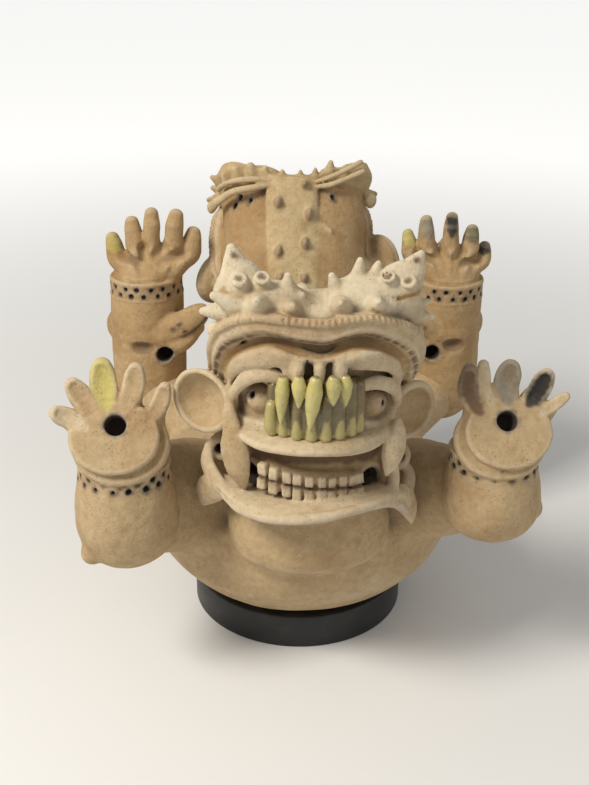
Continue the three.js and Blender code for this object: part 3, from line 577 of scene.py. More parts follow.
def crown(clay, spec):
    """Skin of a second reptile worn over the head: saddle, spikes, strap and jaws"""
    back, tint = spec["back"], spec["tint"]
    out = HEAD[-1][1]
    edge = CROWN["middle"] + back
    low, high, tube = tower(head_levels(300, 400, 1), 306, 352)[0]

    def distance(x, y, z):
        u, v = x / CROWN["wide"], (y + out) / CROWN["deep"]
        top = CROWN["middle"] + np.where(v < 0, CROWN["front"], back) * v**2 + CROWN["sides"] * u**2
        return np.maximum(tube(x, y, z), 0.93 * (z - top))

    clay.add([(low, high, distance)], tint, blend=3)
    clay.add(ball((-33, -157, 330), (28, 19, 14)), tint, blend=6)
    clay.add(ball((34, -155, 332), (29, 19, 16)), tint, blend=6)
    for side in (-1, 1):
        clay.add(ball((side * 54, -138, 330), (16, 22, 11)), tint, blend=8)
    # Strap down the back
    rows = [(edge - 9, -142, 19), (edge - 6, -124, 21.5), (edge - 7, -111, 22.5), (309, -103, 23),
            (290, -88, 22.5), (272, -72, 22), (256, -61, 21)]
    route = smooth_line(rows, 24)
    turns = [(0, 0.1, 1), (0, 0.3, 0.9), (0, 0.85, 0.6), (0, 0.95, 0.3), (0, 0.8, 0.5), (0, 0.8, 0.6),
             (0, 0.8, 0.6)]
    clay.add(strap([vec(3.5, y + 1.5, z) for z, y, _ in route], route[:, 2], 4, smooth_line(turns, 24)),
             tint, blend=1)
    clay.cut(block((3.5, -118, edge + 9), (25, 20, 10), np.eye(3), 1), tint, blend=1)
    # Spikes: tip, lean, size and length; the back ones are measured from the crown's rear edge
    front_spikes = (
        ((-41, -186, 341), (-0.15, -1, 0.6), 10, 16), ((-17, -185, 337), (0.25, -1, 0.6), 9.5, 15),
        ((13, -185, 339), (-0.1, -1, 0.6), 10, 16), ((38, -185, 340), (0.1, -1, 0.6), 10, 16),
        ((-20, -160, 351), (0, -0.15, 1), 9, 16), ((-9, -164, 338), (0.7, -0.3, 0.8), 6, 12),
        ((8, -160, 351), (-0.35, -0.1, 1), 9, 17), ((28, -154, 360), (0.05, -0.1, 1), 9.5, 20),
        ((41, -152, 357), (0.3, 0, 1), 8.5, 17), ((-71, -168, 339), (-1, -0.3, 0.45), 7.5, 13),
        ((-79, -158, 324), (-1, -0.1, 0.05), 7.5, 13), ((76, -156, 330), (1, -0.2, 0.4), 7, 12),
        ((76, -140, 334), (1, 0.1, 0.6), 6.5, 12), ((80, -156, 318), (1, -0.2, 0), 6.5, 12),
    )
    back_spikes = (
        ((40, -113, 9), (0.1, 0.25, 1), 7.5, 14), ((54, -116, 5), (0.2, 0.25, 1), 6.5, 12),
        ((65, -122, 2), (0.5, 0.2, 1), 5.5, 10), ((27, -111, 7), (0, 0.3, 1), 6.5, 12),
        ((-31, -113, 12), (-0.1, 0.25, 1), 7.5, 15), ((-45, -116, 8), (-0.2, 0.2, 1), 6, 11),
        ((12, -110, 4), (0, 0.5, 1), 4.5, 9), ((-4, -110, 4), (0, 0.5, 1), 4.5, 9),
        ((-17, -110, 6), (0, 0.4, 1), 5.5, 11),
    )
    spikes = []
    for (x, y, z), *rest in front_spikes:
        spikes.append(((x, y, z - (spec["low_front"] if z > 345 else 0)), *rest))
    spikes += [((x, y, edge + z), *rest) for (x, y, z), *rest in back_spikes]
    for tip, lean, radius, length in spikes:
        way = unit(vec(*lean))
        clay.add(spike(vec(*tip) - length * way, way, radius, length, 2.8 if radius > 7 else 2), tint,
                 blend=3)
    strap_spikes = ((-7, -105, 318, 7), (16, -100, 305, 8), (-11, -96, 299, 8.5), (16, -84, 281, 8),
                    (-7, -85, 285, 7.5), (15, -72, 268, 7.5), (-6, -72, 268, 7.5))
    # Outer ends of the strap's cones painted rust brown as painted shade
    for x, y, z, size in strap_spikes:
        way = unit(vec(0, 1, 0.45))
        clay.add(spike(vec(x, y, z) + 3 * way, way, size, 10, 1.8), tint, blend=1.5)
        clay.paint(strap([vec(x, y, z) + 9 * way, vec(x, y, z) + 14 * way], 4), "rust")
    clay.add(spike(vec(-15, -94, 294), vec(-1, 0.3, -0.1), 6, 17, 1.2), tint, blend=2)
    # Jaws of the skin: two lips on each side, falling to a knob on one side and rising on the other
    for jaw in (
        [(24, -106, 322, 2), (40, -104, 323.5, 2.4), (56, -108, 321, 2.6), (68, -118, 314, 2.6)],
        [(24, -104, 318.5, 2), (40, -101, 317, 2.4), (56, -105, 313, 2.6), (68, -114, 306, 2.8),
         (75, -123, 303, 4)],
        [(-17, -106, 321, 2), (-30, -105, 325.5, 2.4), (-43, -107, 331, 2.6), (-57, -112, 337, 2.6)],
        [(-17, -104, 317, 2), (-30, -102, 319.5, 2.4), (-44, -105, 324, 2.6), (-59, -110, 329, 2.8)],
    ):
        jaw = [(x, y, z + edge - 327, r) for x, y, z, r in jaw]
        clay.add(strap([row[:3] for row in jaw], [row[3] for row in jaw], steps=16), tint, blend=1)
    clay.add(ball((-69, -126, edge - 19), 5.5), tint, blend=2)
    # Holes in the crown's back, tinted dark as painted shade
    for turn, height in ((131, 308), (142, 307), (124, 303), (-150, 309)):
        base = on_head(turn, height, 0)
        clay.cut(strap([base + 4 * outward(turn), base - 6 * outward(turn)], 1.7), "dark")


def crest_head(clay, foot, apex, eyes):
    """Small reptile head on the crown: snout up, two ring eyes"""
    foot, apex = vec(*foot), vec(*apex)
    side = math.copysign(1, foot[0])
    ahead = unit(vec(-0.15 * side, -1, 0.45))
    route = [foot + vec(0, 3, -6), foot + vec(0, 1.5, 3), 0.5 * foot + 0.5 * apex, apex]
    clay.add(strap(route, [15, 15.5, 9.5, 3.2], [9, 9, 6.5, 3], ahead, steps=12), "pale", blend=2.5)
    for eye in eyes:
        eye = vec(*eye)
        gaze = unit(ahead + vec(0, 0, 0.75))
        clay.add(strap([eye - 11 * gaze, eye - 6.5 * gaze], 5.8), "pale", blend=2)
        clay.add(hoop(eye, gaze, 4, 1.4), "pale", blend=0.6)
        clay.add(ball(eye - 1.6 * gaze, 2.7), "pale", blend=0.4)
        clay.cut(ball(eye + 1.2 * gaze, 1.4), "brown", blend=0.4)
    clay.cut(ball(0.2 * foot + 0.8 * apex + 4.6 * ahead, 1.4), "brown")
    lips = [foot + vec(side * x, y, z) for x, y, z in ((-13, -8.5, 0.5), (0, -9.5, -3), (14, -6, 1))]
    clay.cut(strap(lips, 1.1, steps=8), "tan", blend=1)


def mouth(clay):
    """Lip shelf, gums with two rows of teeth, jaw plate, tusks and corner holes"""
    # Wall under the shelf falls back, tinted brown as painted shade under the shelf
    clay.cut(along_head([(-44, 218, 4), (-20, 219, 4.5), (0, 219, 4.5), (20, 218, 4.5), (42, 216, 4)], 9, 6,
                        24), "brown", blend=4)
    shelf = [(-56, 240, 1), (-44, 236.5, 5), (-31, 235, 8.5), (-16, 236.5, 12), (0, 237.5, 13),
             (16, 236, 12), (30, 234.5, 8.5), (44, 235, 5), (54, 237, 1)]
    clay.add(along_head(shelf, [4, 8, 9.5, 13, 14.5, 13, 9.5, 8, 4], [3, 3.6, 4, 4.2, 4.2, 4.2, 4, 3.6, 3],
                        34, flat=True), "cream", blend=2)
    rim = [(-56, 239, 6), (-44, 235, 13), (-32, 233.5, 18), (-23.5, 234, 22), (-15.5, 234.4, 24.5),
           (-8, 234.8, 26.5), (-1.5, 234.8, 27), (5.5, 234.4, 26), (13, 233.6, 24), (21.5, 232.6, 21),
           (30, 231.6, 17), (41, 232, 12)]
    clay.add(along_head(rim, [2.6, 3.2, 3.2, 3.2, 3.2, 2.8], steps=30), "cream", blend=1.5)
    # Corner holes, tinted dark inside as painted shade
    for turn, height in ((-45, 197), (40, 193)):
        base = on_head(turn, height, 0)
        clay.add(hoop(base + 0.5 * outward(turn), outward(turn), 11, 3), blend=3)
        clay.cut(strap([base + 8 * outward(turn), base - 14 * outward(turn)], 8.8), "dark", blend=1.5)
    # Gums and teeth
    for rows, proud in (((208.5, 205.8, 203.4, 202, 201, 200.5, 201), 8.5),
                        ((198.6, 195.8, 193.4, 192, 191, 190.5, 191), 10)):
        row = [(turn, height, proud - 5) for turn, height in zip((-31, -20, -10, 0, 10, 19, 27), rows)]
        clay.add(along_head(row, [4, 5, 6, 6, 6, 5, 4], [4, 5, 5.5, 5.5, 5.5, 5, 4], 22), "buff", blend=2)
        count = 10
        for i, (turn, height, _) in enumerate(smooth_line(row, count)):
            way = outward(turn)
            across = unit(np.cross(vec(0, 0, 1), way) + vec(0, 0, 0.07 * math.sin(9 * i + proud)))
            half = (3.55 + 0.2 * math.sin(5 * i), 3.4, 4.9 + 0.3 * math.cos(3 * i + proud))
            uneven = [size * math.sin(rate * i) for size, rate in ((0.5, 4), (0.5, 3), (0.4, 7))]
            centre = on_head(turn + uneven[0], height + uneven[1], proud + uneven[2])
            clay.add(block(centre, half, (across, way, (0, 0, 1)), 1.2), "cream", blend=0.3)
    clay.cut(along_head([(-33, 203.4, 13), (0, 197, 14), (29, 195.6, 13)], 0.6, 3, 20), "brown", blend=0.4)
    # Jaw plate with a fin at each end
    jaw = [(-80, 170, 17), (-72, 182, 14), (-58, 187, 12), (-38, 184.5, 13), (-18, 184.5, 13.5),
           (2, 185.5, 13.5), (20, 186.5, 13), (38, 186, 12), (54, 180, 12), (66, 168, 14), (76, 154, 18)]
    clay.add(along_head(jaw, [6, 8, 10, 13.5, 15, 15, 14, 12, 10, 8, 6],
                        [4, 4, 3.8, 3.6, 3.6, 3.6, 3.6, 3.6, 3.6, 3.6, 3], 50, flat=True), "cream", blend=2)
    lip = [(-64, 184, 17), (-50, 181.5, 21), (-38, 180, 25), (-28, 180, 27.5), (-19, 181, 29),
           (-10, 182.5, 29.5), (-1, 184, 29.5), (8, 185.5, 28.5), (17, 186, 26.5),
           (27, 185, 24), (40, 181, 21), (53, 172, 20), (66, 159, 20)]
    clay.add(along_head(lip, [2.6, 3.6, 4, 4, 4, 3.8, 3, 2.4], steps=40), "cream", blend=2)
    clay.paint(along_head([(t, z - 3.5, p + 1) for t, z, p in lip], 3.4, steps=40), "lilac")
    fins = (([(-60, 184, 18), (-72, 176, 20), (-84, 158, 22)], [9, 12, 4], -34),
            ([(-62, 186, 18), (-74, 196, 18), (-80, 207, 15)], [8, 7, 3], -34),
            ([(60, 174, 16), (70, 163, 19), (77, 150, 22), (81, 138, 23)], [9, 9, 6, 1.4], 34),
            ([(66, 168, 17), (78, 178, 17), (84, 190, 12)], [8, 6, 2.4], 34))
    for rows, size, turn in fins:
        clay.add(facing(rows, size, [min(s, 3.6) for s in size], turn, 14), "cream", blend=2)
    # Blade and tusk beside the mouth
    blade = [(-60, 268, 4), (-56, 258, 8), (-52, 248, 12), (-47, 235, 15), (-44.5, 221, 17),
             (-43.5, 206, 16), (-42.5, 191, 13)]
    clay.add(facing(blade, [2.4, 3.6, 5, 7.5, 10.5, 8.5, 2], [2.2, 2.8, 3.4, 4, 4.4, 3.6, 1.8], -20),
             "buff", blend=1.4)
    tusk = [(51, 238, 12), (46.5, 231.5, 16), (42, 223, 19), (40, 214, 20), (40, 203, 18)]
    clay.add(facing(tusk, [3.6, 7, 8.6, 5.8, 1.2], [3.2, 5, 5.4, 4.4, 1.2], 16), "cream", blend=1.4)
    clay.add(along_head([(50, 216, 6), (53, 200, 11), (50, 186, 15), (40, 182, 17)], [3, 4, 4, 2],
                        steps=16), "cream", blend=2)


def ears(clay, rise):
    """Ear spools and the holed lugs under them"""
    for side, centre, radius in ((-1, vec(-79, -137, 249), 25), (1, vec(72, -133, 238), 22.5)):
        axis = unit(vec(side * math.sin(math.radians(34)), -math.cos(math.radians(34)), -0.02))
        centre = centre + vec(0, 0, rise)
        base = centre - 26 * axis
        clay.add(strap([base - 6 * axis, base + 8 * axis], [12, 10]), "buff", blend=3)
        clay.add(strap([base + 8 * axis, centre - 8 * axis], [10, 13]), "buff", blend=2)
        clay.add(ball(centre - 5.5 * axis, (radius - 2, radius - 2, 8), orient(axis)), "buff", blend=2)
        clay.add(hoop(centre - 1.5 * axis, axis, radius - 3.4, 3.4), "cream", blend=2)
        clay.cut(ball(centre + 3 * axis, (radius - 4.6, radius - 4.6, 12.5), orient(axis)), "buff",
                 blend=1.6)
    for side, turn, height in ((-1, -77, 206), (1, 76, 198)):
        centre, way = on_head(turn, height, 6), unit(vec(side * 0.35, -1, 0.25))
        clay.add(ball(centre - 4 * way, (9, 9, 13)), "buff", blend=5)
        clay.add(hoop(centre, way, 6.8, 3.4), "cream", blend=2)
        # Lug hole, tinted dark as painted shade
        clay.cut(strap([centre - 14 * way, centre + 8 * way], 3.6), "dark", blend=1)


def orient(axis):
    """Three square directions, the last along the axis"""
    first = unit(np.cross(axis, vec(0, 0, 1) if abs(axis[2]) < 0.9 else vec(1, 0, 0)))
    return [first, np.cross(axis, first), axis]


def head_skin(spec, step):
    """One head in its front place"""
    clay = Clay((-104, -206, 126), (104, -48, 372), step)
    clay.add(tower(head_levels(0, 330), 152, 320), spec["base"], blend=0)
    features(clay)
    mouth(clay)
    crown(clay, spec)
    brow_band(clay)
    for crest in spec["crests"]:
        crest_head(clay, *crest)
    ears(clay, spec["spools"])
    clay.uneven(34, 0.9, spec["seed"])
    clay.uneven(11, 0.35, spec["seed"] + 1)
    return clay.skin()


def lifted(skin, height):
    """The same skin drawn up at the back, from height 262 to 318 and from y -160 to -115"""
    points, *rest = skin
    rise = np.clip((points[:, 2] - 262) / 56, 0, 1)
    behind = np.clip((points[:, 1] + 160) / 45, 0, 1)
    raised = points.copy()
    raised[:, 2] += height * rise * rise * (3 - 2 * rise) * behind
    return (raised, *rest)


def teeth_skin(step):
    """Glazed block of pointed fangs over blunt teeth"""
    clay = Clay((-38, -206, 230), (38, -156, 300), step)
    lobes = ((-24, 13), (-17, 17), (-10, 20.5), (-3.2, 22), (3.6, 22), (10.4, 20.5), (17, 17.5), (22.6, 14))
    # Blunt teeth tinted dark olive as painted shade, with the glaze colour painted on their lower ends
    for turn, proud in lobes:
        rows = [(turn, 281 - 0.25 * abs(turn), proud - 9), (turn, 264, proud - 7), (turn, 243.5, proud - 5)]
        clay.add(along_head(rows, [5.4, 5.4, 4.8], [7, 7, 6], 8), "shaded_olive", blend=3)
        clay.paint(along_head([(turn, 255, proud + 1), (turn, 239, proud)], [1.5, 6], 4, 6), "glaze")
    clay.add(along_head([(-23.5, 262, 13), (-24, 250, 13.5), (-23.5, 244, 13)], [4, 5, 4.6], steps=8),
             "glaze", blend=0.8)
    fangs = ((-16.8, -17.5, 250, 5.2, 18), (-9.2, -9, 266.5, 5.2, 21), (-1.8, -4, 250, 6, 22),
             (5.8, 6.2, 268, 5.3, 21), (12, 12.6, 265, 4.8, 18))
    for top, low, bottom, size, proud in fangs:
        crest = 290 - abs(top + 2) * 0.12
        rows = [(top + (low - top) * part, crest + (bottom - crest) * part, proud + 1.5 * part)
                for part in (0.08, 0.28, 0.52, 0.78, 0.97)]
        clay.add(along_head(rows, [size * share for share in (0.7, 1, 0.84, 0.46, 0.14)], steps=18),
                 "ochre", blend=0.4)
        # Tops of the fangs painted dark olive as painted shade where they meet the block
        clay.paint(along_head([(top, crest + 1, proud), (top, crest - 3, proud)], 2.4, steps=4), "shaded_olive")
    # Clear of the clay behind it
    clay.cut(tower(head_levels(0, 330), 225, 310), blend=0)
    clay.uneven(9, 0.35, 8)
    return clay.skin()


# Materials


class Wire:
    """Value or colour in a material's nodes, with arithmetic"""

    def __init__(self, look, socket):
        self.look, self.socket = look, socket

    def maths(self, kind, first, second):
        return self.look.node("ShaderNodeMath", {"operation": kind}, {0: first, 1: second})

    def __add__(self, other):
        return self.maths("ADD", self, other)

    def __radd__(self, other):
        return self.maths("ADD", other, self)

    def __sub__(self, other):
        return self.maths("SUBTRACT", self, other)

    def __rsub__(self, other):
        return self.maths("SUBTRACT", other, self)

    def __mul__(self, other):
        return self.maths("MULTIPLY", self, other)

    def __rmul__(self, other):
        return self.maths("MULTIPLY", other, self)


class Look:
    """Material with one Principled shader, built from nodes"""

    def __init__(self, name):
        self.material = bpy.data.materials.new(name)
        self.material.use_nodes = True
        self.tree = self.material.node_tree
        self.shader = self.tree.nodes["Principled BSDF"]

    def node(self, kind, settings=None, values=None, output=0):
        made = self.tree.nodes.new(kind)
        for key, value in (settings or {}).items():
            setattr(made, key, value)
        for key, value in (values or {}).items():
            self.feed(made.inputs[key], value)
        return Wire(self, made.outputs[output])

    def feed(self, socket, value):
        if isinstance(value, Wire):
            self.tree.links.new(value.socket, socket)
        else:
            socket.default_value = value

    def layer(self, name):
        return self.node("ShaderNodeAttribute", {"attribute_name": name}, output="Color")

    def places(self):
        return self.node("ShaderNodeTexCoord", output="Object")

    def noise(self, scale, detail=4.0, rough=0.55):
        values = {"Vector": self.places(), "Scale": scale, "Detail": detail, "Roughness": rough}
        return self.node("ShaderNodeTexNoise", {}, values, "Fac")

    def cells(self, scale):
        values = {"Vector": self.places(), "Scale": scale}
        return self.node("ShaderNodeTexVoronoi", {}, values, "Distance")

    def ramp(self, value, low, high, first=0.0, last=1.0):
        values = {"Value": value, "From Min": low, "From Max": high, "To Min": first, "To Max": last}
        return self.node("ShaderNodeMapRange", {"interpolation_type": "SMOOTHSTEP"}, values)

    def mix(self, share, first, second, kind="MIX"):
        settings = {"data_type": "RGBA", "blend_type": kind}
        return self.node("ShaderNodeMix", settings, {0: share, 6: colour(first), 7: colour(second)}, 2)

    def split(self, value):
        made = self.tree.nodes.new("ShaderNodeSeparateColor")
        self.tree.links.new(value.socket, made.inputs[0])
        return [Wire(self, out) for out in made.outputs]

    def glow(self, tone):
        self.feed(self.shader.inputs["Emission Color"], tone)
        self.shader.inputs["Emission Strength"].default_value = 1.0

    def finish(self, base, rough, bump, depth, **uniform):
        self.feed(self.shader.inputs["Base Color"], base)
        self.feed(self.shader.inputs["Roughness"], rough)
        relief = self.node("ShaderNodeBump", {}, {"Strength": 1.0, "Distance": depth, "Height": bump})
        self.feed(self.shader.inputs["Normal"], relief)
        for key, value in uniform.items():
            self.shader.inputs[key.replace("_", " ")].default_value = value
        return self.material


def colour(value):
    return (*value, 1.0) if isinstance(value, tuple) else value


def clay_look():
    """Dry, sandy fired clay with fire clouds, dark grit, painted shade in hollows and worn edges"""
    look = Look("fired_clay")
    edge, shaded_hollow, _ = look.split(look.layer("form"))
    base = look.layer("tint")
    clouds = look.noise(13, 3)
    patches = look.noise(46, 5, 0.62)
    grain = look.noise(620, 3, 0.6)
    sand = look.noise(190, 4, 0.65)
    # Fire clouds, patches, sand, painted shade in hollows and worn edges
    base = look.mix(look.ramp(clouds, 0.5, 0.72, 0, 0.5), base, (0.62, 0.47, 0.31), "MULTIPLY")
    base = look.mix(look.ramp(patches, 0.52, 0.7, 0, 0.45), base, (0.70, 0.55, 0.38), "MULTIPLY")
    base = look.mix(look.ramp(patches, 0.26, 0.45, 0.14, 0), base, (0.82, 0.74, 0.58))
    base = look.mix(look.ramp(sand, 0.35, 0.65, 0.0, 0.4), base, (0.72, 0.63, 0.52), "MULTIPLY")
    # Painted shade darkens the hollows
    base = look.mix(look.ramp(shaded_hollow, 0.25, 0.9, 0, 0.72), base, (0.12, 0.09, 0.07))
    base = look.mix(look.ramp(edge, 0.58, 0.92, 0, 0.2), base, (0.72, 0.63, 0.48))
    # Dark grit and open pits
    grit = look.ramp(look.cells(420), 0.14, 0.24, 1, 0) * look.ramp(look.noise(60, 2), 0.5, 0.62)
    base = look.mix(grit * 0.6, base, (0.11, 0.07, 0.045))
    pits = look.ramp(look.cells(430), 0.10, 0.24, 1, 0) * look.ramp(look.noise(95, 2), 0.55, 0.62)
    height = 0.5 * grain + 0.9 * sand + 1.6 * look.noise(75, 3) - 0.8 * pits
    rough = look.ramp(patches, 0.3, 0.7, 0.95, 0.78)
    return look.finish(base, rough, height, 0.00075)


def glaze_look():
    """Thick yellow-green glaze, brown where it thins, darkened in its hollows as painted shade"""
    look = Look("glazed_teeth")
    edge, shaded_hollow, _ = look.split(look.layer("form"))
    patches = look.noise(70, 4, 0.6)
    base = look.mix(look.ramp(patches, 0.42, 0.7, 0, 0.3), look.layer("tint"), (0.30, 0.24, 0.11))
    # Painted shade darkens the hollows
    base = look.mix(look.ramp(shaded_hollow, 0.12, 0.7, 0, 0.85), base, (0.07, 0.05, 0.018))
    base = look.mix(look.ramp(edge, 0.58, 0.92, 0, 0.18), base, (0.60, 0.54, 0.30))
    flecks = look.ramp(look.cells(380), 0.12, 0.2, 1, 0) * look.ramp(look.noise(140, 2), 0.52, 0.6)
    base = look.mix(flecks * 0.7, base, (0.05, 0.035, 0.015))
    rough = look.ramp(look.noise(160, 3), 0.35, 0.7, 0.16, 0.42)
    height = look.noise(120, 3) + 0.4 * look.noise(420, 2)
    return look.finish(base, rough, height, 0.0008, Coat_Weight=0.35, Coat_Roughness=0.08)


def ring_look():
    """Satin black plastic with faint dust"""
    look = Look("ring_black")
    dust = look.ramp(look.noise(90, 4), 0.45, 0.75, 0, 0.35)
    base = look.mix(dust, (0.011, 0.011, 0.012), (0.035, 0.034, 0.032))
    return look.finish(base, 0.42 + 0.12 * look.noise(240, 3), look.noise(900, 2), 0.00008)


# Arms: x of the axis, height of the pot's bottom, girth, heights of the cuff's edges, place of a lump,
# and claws as root, middle and tip in the palm's plane from its hole, half width, tint of the claw and
# of its hollow
ARMS = {
    "front_left": {
        "sides": (-1, 1), "front": True, "x": 137, "bottom": 114, "girth": 0.94, "cuff": (184, 199),
        "lump": (163, -140, 127),
        "claws": [((14, -6), (33, 6), (46, 11), 6.4, "cream", "cream"),
                  ((9, 2), (24, 21), (34, 34), 7.6, "cream", "buff"),
                  ((4, 4), (9, 31), (11, 50), 9.4, "ochre", "ochre"),
                  ((-6, 4), (-12, 29), (-15, 46), 7.8, "cream", "buff"),
                  ((-18, -6), (-31, 16), (-36, 31), 6, "cream", "buff")],
    },
    "front_right": {
        "sides": (1, 1), "front": True, "x": 137, "bottom": 131, "girth": 0.92, "cuff": (190, 204),
        "lump": (169, -127, 152),
        "claws": [((18, 0), (35, 12), (46, 19), 4.6, "cream", "cream"),
                  ((12, 6), (26, 24), (34, 38), 8.4, "cream", "charred"),
                  ((1, 6), (2, 29), (7, 46), 9.4, "grey", "grey"),
                  ((-8, 4), (-15, 26), (-15, 46), 5.6, "cream", "cream"),
                  ((-16, -2), (-27, 22), (-25, 43), 7, "brown", "brown")],
    },
    "rear_left": {
        "sides": (-1, -1), "front": False, "x": 136, "bottom": 114, "girth": 1.0, "cuff": (242, 259),
        "lump": None,
        "claws": [((10, -16), (28, -2), (33, 19), 7.5, "ochre", "ochre"),
                  ((5, -14), (11, 12), (14, 36), 7.4, "tan", "tan"),
                  ((-3, -14), (-4, 12), (-5, 45), 7, "tan", "tan"),
                  ((-11, -14), (-22, 11), (-28, 44), 7.8, "tan", "tan"),
                  ((-16, -14), (-38, 3), (-43, 25), 8, "tan", "buff")],
    },
    "rear_right": {
        "sides": (1, -1), "front": False, "x": 144, "bottom": 114, "girth": 1.0, "cuff": (238, 255),
        "lump": None,
        "claws": [((14, -16), (33, -6), (38, 8), 7, "charred", "charred"),
                  ((8, -14), (20, 6), (23, 27), 7.6, "moss", "charred"),
                  ((2, -14), (2, 10), (1, 40), 6.6, "charred", "charred"),
                  ((-8, -14), (-20, 8), (-22, 37), 7.2, "grey", "cream"),
                  ((-12, -14), (-34, 2), (-38, 22), 6.8, "ochre", "ochre")],
    },
}
# Limbs: distance of the axis in y, pot as rise and radius, place and tilt of the palm, height of the
# eye hole, radius of the wrist and the palm's oval
LIMB = {
    "front": {"y": 127, "levels": [(0, 15), (7, 27), (17, 36), (34, 41), (54, 40), (74, 36)],
              "palm": (3, 17, 234), "tilt": 38, "eye": 152, "wrist": 31, "oval": (1, -8, 32, 27)},
    "rear": {"y": 125, "levels": [(0, 14), (8, 24), (22, 32), (50, 34.5), (90, 34), (128, 32.5)],
             "palm": (-3, 2, 281), "tilt": 20, "eye": 192, "wrist": 27.5, "oval": (-4, -10, 31, 24)},
}


def pot(clay, spec, limb, tone):
    """Pot of an arm, shaped as a small reptile head with a brow and eye hole, and a snout at the rear"""
    x, y, bottom = spec["x"], limb["y"], spec["bottom"]
    low, high = spec["cuff"]
    tall = (low + 3 - bottom) / limb["levels"][-1][0]
    levels = [(bottom + rise * tall, x, -y, r * spec["girth"], r * spec["girth"])
              for rise, r in limb["levels"]]
    levels.append((high, x, -y, limb["wrist"], limb["wrist"]))
    clay.add(tower(levels, bottom + 1, high - 3), tone, blend=0)
    eye = vec(x - 16, -y + 31, limb["eye"])
    if not spec["front"]:
        upper = [eye + vec(*row) for row in ((4, -9, 18), (-16, -3, 27), (-29, -2, 36), (-34, -3, 40))]
        lower = [eye + vec(*row) for row in ((2, -9, 6), (-16, -4, 10), (-31, -4, 24))]
        clay.add(strap(lower, [11, 9, 6], [12, 9, 7], (0, 1, 0), 10), tone, blend=4)
        clay.add(strap(upper, [14, 13, 11, 8], [12, 11, 9, 7], (0, 1, 0), 12), tone, blend=3)
        for out, rise in ((-15, 31), (-20, 24), (-9, 26)):
            clay.cut(ball(eye + vec(out, 8, rise), 1.7), "brown")
        for depth in (1, -1):
            slit = [eye + vec(across, back + out * depth, rise)
                    for across, back, out, rise in ((-14, -4, 12, 15), (-26, -3, 9, 24), (-40, -3, 6, 37))]
            clay.cut(strap(slit, 1.2, steps=8), "brown", blend=1)
    brow = [eye + vec(*row) for row in ((38, -12, 13), (22, -1, 16), (2, 0, 15))]
    clay.add(strap(brow, [3, 4.4, 4], [2, 3, 3], (0, 1, 0), 12), tone, blend=5)
    clay.cut(ball(eye + vec(20, 3, 7), (10, 5, 5)), "rust", blend=3)
    clay.add(hoop(eye + vec(0, -1, 0), (-0.2, 1, 0), 8.6, 2), tone, blend=4)
    # Eye hole, tinted dark as painted shade
    clay.cut(strap([eye + vec(-1, 8, 0), eye - vec(0, 16, 0)], 7.4), "dark", blend=1.4)
    if spec["lump"]:
        clay.add(ball(spec["lump"], (9, 9, 9)), tone, blend=5)
    else:
        clay.add(ball((x + 33, -y - 6, limb["eye"] + 16), (6, 8, 11)), tone, blend=5)


def cuff(clay, spec, limb, tone):
    """Bracelet standing off the wrist, with two rows of punched holes"""
    x, y, radius = spec["x"], limb["y"], limb["wrist"] + (2.2 if spec["front"] else 5)
    low, high = spec["cuff"]
    outside = [(low, x, -y, radius, radius), (high, x, -y, radius + 0.5, radius + 0.5)]
    clay.add(tower(outside, low, high), tone, blend=1.2)
    for height in (low + 1, high - 1):
        ring = [vec(x, -y, height) + (radius - 0.8) * outward(a) for a in range(0, 361, 12)]
        clay.add(strap(ring, 1.6, 1.7), tone, blend=1)
    # Inside of the cuff tinted brown as painted shade in the gap round the wrist
    inside = [(low, x, -y, radius - 4, radius - 4), (high + 30, x, -y, radius - 3, radius - 3)]
    clay.cut(tower(inside, low + 6, high + 1.5), "brown", blend=1)
    # Punched holes, tinted dark as painted shade
    holes = 17
    for i in range(2 * holes):
        turn = (i + 0.12 * math.sin(5 * i)) * 180 / holes
        rise = 0.31 if i % 2 else 0.68
        spot = vec(x, -y, low + (high - low) * rise) + radius * outward(turn)
        clay.cut(strap([spot + 4 * outward(turn), spot - 5 * outward(turn)], 1.7), "dark", blend=1)


